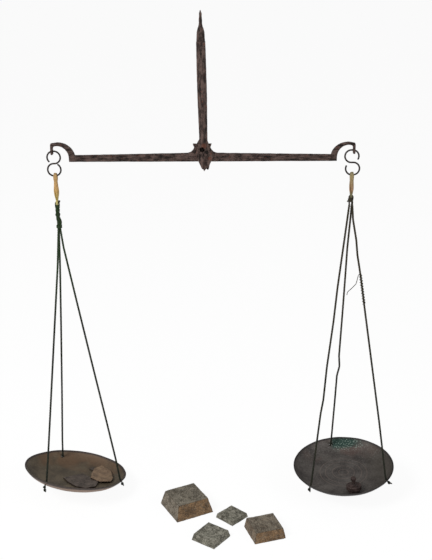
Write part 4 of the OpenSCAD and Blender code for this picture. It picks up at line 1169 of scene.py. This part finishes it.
def iron(name, dark, light, rust, rust_share, roughness, grain_way=(1.0, 1.0, 1.0), worn=0.4):
    """Streaked iron with rust patches, worn ridges with painted highlight, and painted shade in hollows."""
    finish = Finish(name, metallic=0.1, Specular_IOR_Level=0.15)
    grain = finish.grain = finish.noise(0.9, 6.0, 0.65)
    streaks = finish.noise(1.5, 5.0, at=finish.stretched(grain_way))
    mix = finish.noise(6.0, 5.0) * 0.3 + streaks * 0.45 + grain * 0.25
    finish.colour = finish.blend(finish.above(mix, 0.42, 0.6), dark, light)
    rusty = finish.noise(3.2, 6.0, 0.62) + grain * 0.35
    patches = finish.above(rusty, 0.78 - rust_share, 0.96 - rust_share)
    finish.mark(patches * 0.85, rust)
    # Ridges are lighter from wear and from a painted highlight; hollows get painted shade.
    finish.mark(finish.above(finish.ridges(), 0.53, 0.57) * worn, WORN_AND_LIT_IRON)
    finish.mark(finish.below(finish.ridges(), 0.45, 0.49) * 0.7, IRON_HOLLOW_SHADE)
    pits = finish.above(finish.cells(0.9), 0.1, 0.45)
    height = grain * 0.4 + streaks * 0.3 + pits * 0.5 + patches * 0.2
    return finish.finished(roughness + patches * 0.22 - grain * 0.1, height, 0.2)


beam_iron = iron("forged_beam_iron", IRON_DARK, (80, 65, 60), RUST, 0.02, 0.6, (0.16, 1.0, 1.0))
beam_iron.on(forged.pop("forged_beam"))
wire_iron = iron("iron_wire", (20, 15, 13), (48, 40, 36), (56, 38, 30), -0.04, 0.5, worn=0.0)
wire_iron.on(*hooks.values(), nodes["pointer"])
steel = Finish("dark_steel", Roughness=0.8, Base_Color=paint((12, 8, 6)), Specular_IOR_Level=0.1)
steel.on(nodes["knife_edge"])
print("pieces of the shears left:", list(forged))

# %% Marks on the leaf of the shears
# Each mark's x, z and radius in millimetres, its strength and its colour
# The last two marks are painted shade: a black spot for a hollow beside the bearing, and a dark pit.
LEAF_MARKS = [
    (1.9, -125.3, 3.4, 0.55, RUST), (7.6, -138.0, 2.4, 0.5, RUST), (-7.4, -137.3, 2.2, 0.4, RUST),
    (4.4, -131.6, 2.6, 0.95, (8, 3, 1)), (3.3, -141.7, 0.8, 0.8, (30, 18, 14)),
]


def spot(finish, x, z, radius):
    """1 in a ragged spot seen from the front, 0 outside; places in millimetres."""
    sideways, up = finish.part(0) - x * MM, finish.part(2) - z * MM
    away = (sideways * sideways + up * up) ** 0.5 + finish.grain * (radius * 0.6 * MM)
    return finish.below(away, radius * 0.75 * MM, radius * 1.35 * MM)


shears_iron = iron("forged_straps", IRON_DARK, IRON_LIGHT, RUST, 0.02, 0.6, (1.0, 1.0, 0.16))
for x, z, radius, share, shade in LEAF_MARKS:
    shears_iron.mark(spot(shears_iron, x, z, radius) * share, shade)
shears_iron.feed(Base_Color=shears_iron.colour)
shears_iron.on(*forged.values())
print("marks on the leaf:", len(LEAF_MARKS))

# %% [markdown]
# Cord
#
# Cord is dull: fine fibres scatter the light, so it has a little sheen and no shine.
# Its colour wanders slowly along its length. The right cords are browner at the top
# and greener lower down. An image of yarn would need the cord unwrapped, while noise
# on Object coordinates follows the strands as they are.

# %% Cord finishes
def cord_finish(name, top, foot, top_z, foot_z, dust):
    """Fibrous yarn between two heights, with a dusty colour in places."""
    finish = Finish(name, Sheen_Weight=0.04, Sheen_Roughness=0.5, Specular_IOR_Level=0.25)
    finish.colour = finish.blend(finish.above(finish.part(2), foot_z * MM, top_z * MM), foot, top)
    fibres = finish.noise(0.22, 3.0)
    finish.mark(finish.above(finish.noise(7.0, 3.0, 0.5), 0.42, 0.68) * 0.5, dust)
    finish.shade(0.55, finish.above(fibres, 0.3, 0.62))
    return finish.finished(0.86, fibres, 0.12)


green = cord_finish("green_cord", (33, 54, 25), (26, 30, 20), -225, -330, (44, 50, 34))
green.on(*corded["left"])
olive = cord_finish("olive_cord", (50, 44, 30), (28, 31, 20), -230, -430, (52, 48, 34))
olive.on(*corded["right"])
print("corded pieces:", len(corded["left"]) + len(corded["right"]))

# %% [markdown]
# Leather
#
# The thongs are tan and olive leather: smoother than cord, with painted shade in their
# creases, and dirty where fingers and cord touch them. Their colour also changes from the
# wire down to the eye. Two blended colours can't follow that, so a colour ramp over the
# height holds it, with a stop for each place where the colour turns.

# %% Leather finishes
LEATHER_DIRT = (96, 76, 48)


def leather_finish(name, top_z, foot_z, stops):
    """Leather whose colour follows the stops from its top to its foot."""
    finish = Finish(name)
    height = {0: finish.part(2), 1: top_z * MM, 2: foot_z * MM, 3: 0.0, 4: 1.0}
    height = finish.node("ShaderNodeMapRange", {}, height)
    finish.colour = finish.node("ShaderNodeValToRGB", {"stops": stops}, {0: height})
    fibres = finish.noise(0.5, 5.0)
    creases = finish.above(finish.cells(1.3, "DISTANCE_TO_EDGE"), 0.02, 0.12)
    dirt = finish.above(finish.noise(2.6), 0.5, 0.75)
    # Painted shade between the fibres and in the creases.
    finish.shade(0.6, finish.above(fibres, 0.35, 0.6) * 0.6 + creases * 0.4)
    finish.mark(dirt * 0.3, LEATHER_DIRT)
    return finish.finished(0.5 + dirt * 0.25, fibres * 0.6 + creases * 0.4, 0.18)


leather_finish("tan_leather", -153, -186, [
    (0.0, (132, 102, 54)), (0.1, (160, 126, 72)), (0.45, (180, 140, 82)),
    (0.62, (174, 142, 76)), (0.85, (164, 148, 76)), (1.0, (186, 176, 114)),
]).on(leather["left"])
leather_finish("olive_leather", -153, -179, [
    (0.0, (112, 102, 70)), (0.14, (134, 119, 78)), (0.45, (140, 116, 78)),
    (0.7, (150, 114, 80)), (0.85, (104, 98, 62)), (1.0, (70, 68, 42)),
]).on(leather["right"])
leather_finish("dark_leather", -180, -187, [
    (0.0, (30, 26, 20)), (0.7, (38, 32, 22)), (1.0, (150, 138, 84)),
]).on(bead)
print("leather pieces:", len(leather) + 1)

# %% [markdown]
# Brass under its patina
#
# Both pans are brass that has gone brown. The left one is an even brown, redder
# towards its far rim. The right one is darker, shows the rings of the lathe, and has
# green corrosion with pale crumbs along its far rim. The pans hang askew, so heights
# and distances in the room would put the rings off the middle. They are placed by
# distance and bearing from the pan's middle instead, in the pan's own directions.

# %% A pan's own places and its patina
HOLE_DARKENING = (34, 30, 22)


class Patina(Finish):
    """A pan's finish, with the patterns that its marks are placed by."""

    def __init__(self, name, pan, dark, light, warm, warm_share, ring_strength):
        super().__init__(name, metallic=0.3)
        self.x, self.y = self.places_in(pan)
        self.radius = self.away(0, 0)
        self.grain, self.speck = self.noise(1.6, 6.0, 0.65), self.noise(0.7, 3.0)
        self.under = self.below(self.facing(2), -0.3, -0.1)
        broad = self.noise(16.0, 5.0)
        self.colour = self.blend(self.above(broad * 0.55 + self.grain * 0.45, 0.36, 0.64), dark, light)
        blush = self.noise(24.0, 3.0, 0.5) + self.y * 6.0
        self.mark(self.above(blush, 0.62 - warm_share, 0.92 - warm_share) * 0.7, warm)
        waves = self.radius * (2 * math.pi / (2.6 * MM)) + broad * 5.0
        rings = self.node("ShaderNodeMath", {"operation": "SINE"}, {0: waves})
        in_zone = self.above(self.radius, 2 * MM, 6 * MM) * self.below(self.radius, 26 * MM, 42 * MM)
        self.rings = self.above(rings, 0.72, 1.0) * in_zone * ring_strength
        self.mark(self.rings * 0.5, light)
        for bearing, inset in pan["holes"]:
            hole = hole_place(pan, bearing, inset)[0] * MM
            away = self.away(hole.x, hole.y) + self.speck * (1.2 * MM)
            # Darker round each cord hole.
            self.mark(self.below(away, 1.9 * MM, 3.6 * MM) * 0.75, HOLE_DARKENING)

    def places_in(self, pan):
        """Two coordinates from a pan's middle, in the pan's own directions."""
        middle = tuple(c * MM for c in pan["at"])
        local = self.node("ShaderNodeVectorMath", {"operation": "SUBTRACT"}, {0: self.here, 1: middle})
        for axis, lean in (("Y_AXIS", pan["lean"][1]), ("X_AXIS", pan["lean"][0])):
            back = {"Vector": local, "Angle": -math.radians(lean)}
            local = self.node("ShaderNodeVectorRotate", {"rotation_type": axis}, back)
        return self.part(0, local), self.part(1, local)

    def away(self, x, y):
        """The distance from a place in the pan."""
        east, north = self.x - x, self.y - y
        return (east * east + north * north) ** 0.5

    def edge(self, start, share, colour):
        """Colours the last stretch before the rim, from a radius in millimetres."""
        self.mark(self.above(self.radius, start * MM, (start + 1) * MM) * share, colour)


print("patina ready")

# %% Left pan's finish
brown = Patina("brown_brass", PANS["left"], (62, 54, 43), (96, 85, 68), (94, 70, 50), 0.06, 0.25)
# Painted light: the faces that look down are lighter.
brown.mark(brown.under * 0.85, (140, 118, 104))
brown.edge(53.8, 0.9, (50, 41, 38))
height = brown.grain * 0.5 + brown.speck * 0.2 + brown.rings * 0.5
brown.finished(0.5 + brown.grain * 0.25, height, 0.22).on(pans["left"])
print("left pan finished:", brown.material.name)

# %% Right pan's finish
LATHE_LINES = (5.5, 12.0, 20.0, 26.0)
dark = Patina("dark_brass", PANS["right"], (48, 43, 41), (84, 79, 75), (82, 66, 60), -0.02, 1.0)
x, y = dark.x, dark.y
for line_r in LATHE_LINES:
    away = dark.radius - line_r * MM
    dark.mark(dark.below((away * away) ** 0.5, 0.25 * MM, 0.8 * MM) * 0.3, (112, 98, 90))
dark.mark(dark.above(x, 14 * MM, 44 * MM) * 0.45, (56, 50, 40))
dusty = dark.above(dark.noise(1.8, 6.0, 0.7), 0.53, 0.66) * dark.above(y, -5 * MM, 30 * MM)
dark.mark(dusty * 0.5, (112, 110, 106))
far = dark.above(y, 39.5 * MM, 48 * MM)
sector = dark.above(x, -12 * MM, -6 * MM) * dark.below(x, 12 * MM, 30 * MM)
crust = dark.above(dark.noise(3.2, 5.0, 0.65) + far * 0.5, 0.62, 0.84) * far * sector
dark.mark(crust * 0.9, (24, 56, 49))
crumbs = dark.below(dark.cells(1.9), 0.26, 0.42) * dark.above(dark.speck, 0.4, 0.5)
by_rim = dark.above(y, 38 * MM, 44 * MM) * dark.above(x, -10 * MM, -4 * MM) * dark.below(x, 22 * MM, 36 * MM)
pale = crumbs * by_rim
dark.mark(pale * 0.7, (142, 158, 148))
# Painted shade: the faces that look down are darker.
dark.mark(dark.under * 0.7, (44, 35, 33))
dark.edge(52.8, 0.85, (34, 29, 28))
height = dark.grain * 0.45 + dark.speck * 0.2 + dark.rings * 0.35 + crust * 0.4 + pale * 0.5
dark.finished(0.52 + dark.grain * 0.2 + crust * 0.25, height, 0.25).on(pans["right"])
print("right pan finished:", dark.material.name)

# %% [markdown]
# Sheets and the turned weight
#
# The cut sheets are dull metal, one lead grey and one tan, with shadow painted on their
# edges. The turned weight is nearly black bronze. All of them are blotched metal, so one
# finish with other colours serves them, and on the sheets the faces that don't look up
# get the painted shadow.

# %% Sheet finishes
PAINTED_EDGE_SHADOW = (26, 16, 13)


def sheet_finish(name, dark, light, stain, metallic, edge_shadow=0.0):
    """Blotched dull metal; the last argument darkens the faces that don't look up, as painted shadow."""
    finish = Finish(name, metallic=metallic, Specular_IOR_Level=0.25)
    broad, grain = finish.noise(7.0, 5.0), finish.noise(1.1, 6.0, 0.65)
    finish.colour = finish.blend(finish.above(broad * 0.5 + grain * 0.5, 0.36, 0.64), dark, light)
    finish.mark(finish.above(finish.noise(4.0), 0.56, 0.74) * 0.6, stain)
    # Painted shadow on the faces that don't look up, for the shade under the sheets' raised edges.
    finish.mark(finish.below(finish.facing(2), 0.2, 0.6) * edge_shadow, PAINTED_EDGE_SHADOW)
    return finish.finished(0.52 + broad * 0.2, grain * 0.6 + broad * 0.4, 0.2)


lead = sheet_finish("grey_metal", (46, 39, 34), (92, 82, 75), (66, 55, 46), 0.1, 0.9)
lead.on(sheets["grey"], sheets["clip"])
sheet_finish("tan_metal", (90, 73, 57), (132, 110, 88), (82, 60, 46), 0.05, 0.9).on(sheets["tan"])
sheet_finish("dark_bronze", (24, 16, 15), (78, 64, 60), (44, 25, 23), 0.3).on(turned_weight)
print("sheets and weight:", len(sheets) + 1)

# %% [markdown]
# Cast blocks
#
# The four block weights are cast bronze. The large and the medium one are grey green
# on top and on their left side, and worn to a warm brown on the others. The thin and
# the small one are grey all over. Painting each face by hand wouldn't outlast a change
# of shape, so the finish asks which way a face looks and picks its colour by that.

# %% Cast bronze
CHALK, DUST = (156, 152, 138), (146, 142, 130)
CAST_EDGE_SHADE, CAST_HOLLOW_SHADE, CAST_PIT = (48, 41, 33), (44, 38, 31), (62, 52, 42)


def cast_finish(name, top, side, grey_left=0.0, dust=0.1):
    """Cast metal; top and side are its dark and its light colour there."""
    finish = Finish(name, metallic=0.2, Specular_IOR_Level=0.3)
    on_top = finish.above(finish.facing(2) + finish.noise(5.0) * 0.5, 0.75, 1.15)
    on_left = finish.below(finish.facing(0), -0.6, -0.3)
    grain = finish.noise(1.4, 6.0, 0.68)
    mix = finish.above(finish.noise(8.0, 5.0) * 0.4 + grain * 0.6, 0.4, 0.6)
    top_colour = finish.blend(mix, *top)
    side_colour = finish.blend(on_left * grey_left, finish.blend(mix, *side), top_colour)
    finish.colour = finish.blend(on_top, side_colour, top_colour)
    finish.mark(finish.above(finish.noise(0.8), 0.6, 0.72) * on_top * 0.5, CHALK)
    finish.mark(finish.above(finish.noise(3.4, 2.0, 0.5), 0.5, 0.6) * dust, DUST)
    streaks = finish.noise(4.0, at=finish.stretched((1.0, 1.0, 3.0)))
    finish.mark(finish.above(streaks, 0.52, 0.62) * (1 - on_top) * 0.45, side[0])
    # Painted shade: darker along the edges and in the hollows.
    finish.mark(finish.above(finish.ridges(), 0.51, 0.54) * 0.7, CAST_EDGE_SHADE)
    finish.mark(finish.below(finish.ridges(), 0.46, 0.49) * 0.6, CAST_HOLLOW_SHADE)
    holes = finish.below(finish.cells(2.4), 0.08, 0.3)
    finish.mark(holes * 0.5, CAST_PIT)
    return finish.finished(0.55 + grain * 0.25, grain * 0.6 + mix * 0.2 - holes * 0.5, 0.4)


WORN_SIDE = ((70, 54, 38), (128, 101, 72))
cast_finish("worn_bronze", ((70, 64, 54), (126, 119, 106)), WORN_SIDE, 0.9).on(blocks["large"])
cast_finish("warm_bronze", ((68, 59, 49), (126, 117, 103)), WORN_SIDE, 0.6).on(blocks["medium"])
grey = cast_finish("grey_bronze", ((66, 64, 55), (124, 122, 110)), ((68, 66, 57), (124, 121, 108)), dust=0.6)
grey.on(blocks["thin"], blocks["small"])
print("blocks:", len(blocks))

# %% [markdown]
# Floor, light and background
#
# The balance hangs over a pale floor that its weights stand on. More light would make
# the floor white, but it would bleach the metal too. So the floor and the world are
# white only where the camera, a reflection or a clear piece looks at them, and the
# floor keeps a little of the shadow under the weights. Two broad lamps and a soft
# world light the metal evenly, a little more from the upper left.

# %% Floor
FLOOR_Z, FLOOR_HALF, FLOOR_GLOW = -516.6 * MM, 40.0, 0.93
WHITE = (1.0, 1.0, 1.0, 1.0)


def seen_by(network, *kinds):
    """The rays of each of these kinds, such as Camera."""
    return [network.node("ShaderNodeLightPath", {}, {}, f"Is {kind} Ray") for kind in kinds]


bm = bmesh.new()
bmesh.ops.create_grid(bm, x_segments=1, y_segments=1, size=FLOOR_HALF)
bmesh.ops.translate(bm, verts=bm.verts, vec=(0.0, 9.0, FLOOR_Z))
floor = piece_from(bm, "floor")
floor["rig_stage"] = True
pale_floor = Finish("floor_white", Roughness=0.9, Base_Color=(0.97, 0.97, 0.97, 1.0))
seen = pale_floor.above(sum(seen_by(pale_floor, "Camera", "Glossy", "Transmission")), 0.0, 1.0)
glow = pale_floor.node("ShaderNodeEmission", {}, {"Color": WHITE, "Strength": 1.0})
matt = Shade(pale_floor, pale_floor.shader.outputs[0])
mixed = pale_floor.node("ShaderNodeMixShader", {}, {0: seen * FLOOR_GLOW, 1: matt, 2: glow})
pale_floor.show(mixed, "Material Output")
pale_floor.on(floor)
print("floor at", round(FLOOR_Z, 4))

# %% World
WORLD_LIGHT = 0.38
world = bpy.data.worlds.new("studio")
bpy.context.scene.world = world
world.use_nodes = True
sky = Network(world.node_tree)
plain, white = (
    sky.node("ShaderNodeBackground", {}, {"Color": WHITE, "Strength": s}) for s in (WORLD_LIGHT, 1.0)
)
camera_rays, clear_rays = seen_by(sky, "Camera", "Transmission")
either = sky.node("ShaderNodeMath", {"operation": "MAXIMUM"}, {0: camera_rays, 1: clear_rays})
sky.show(sky.node("ShaderNodeMixShader", {}, {0: either, 1: plain, 2: white}), "World Output")
print("world nodes:", len(sky.tree.nodes))

# %% Lamps
def lamp(name, at, aim, size, power):
    """A round lamp, so many metres across, that shines from one place to another."""
    light = bpy.data.lights.new(name, "AREA")
    light.shape, light.size, light.energy = "DISK", size, power
    holder = linked(name, light)
    holder.location = at
    holder.rotation_euler = (Vector(aim) - Vector(at)).to_track_quat("-Z", "Y").to_euler()


lamp("key_lamp", (-0.9, -0.9, 0.75), (0.0, 0.0, -0.25), 0.6, 24.0)
lamp("fill_lamp", (1.1, -0.8, 0.3), (0.0, 0.0, -0.3), 0.9, 8.0)
bpy.context.scene.view_settings.view_transform = "Standard"
print("lamps:", len(bpy.data.lights))

# %% [markdown]
# The two boxes
#
# The visual pieces have to stay in the space of the solids. Both boxes are printed, in
# millimetres.

# %% Boxes and finish
visual_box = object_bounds()
for name, (low, high) in (("cad", cad_box), ("visual", visual_box)):
    print(name, [round(c / MM, 1) for c in low], [round(c / MM, 1) for c in high])
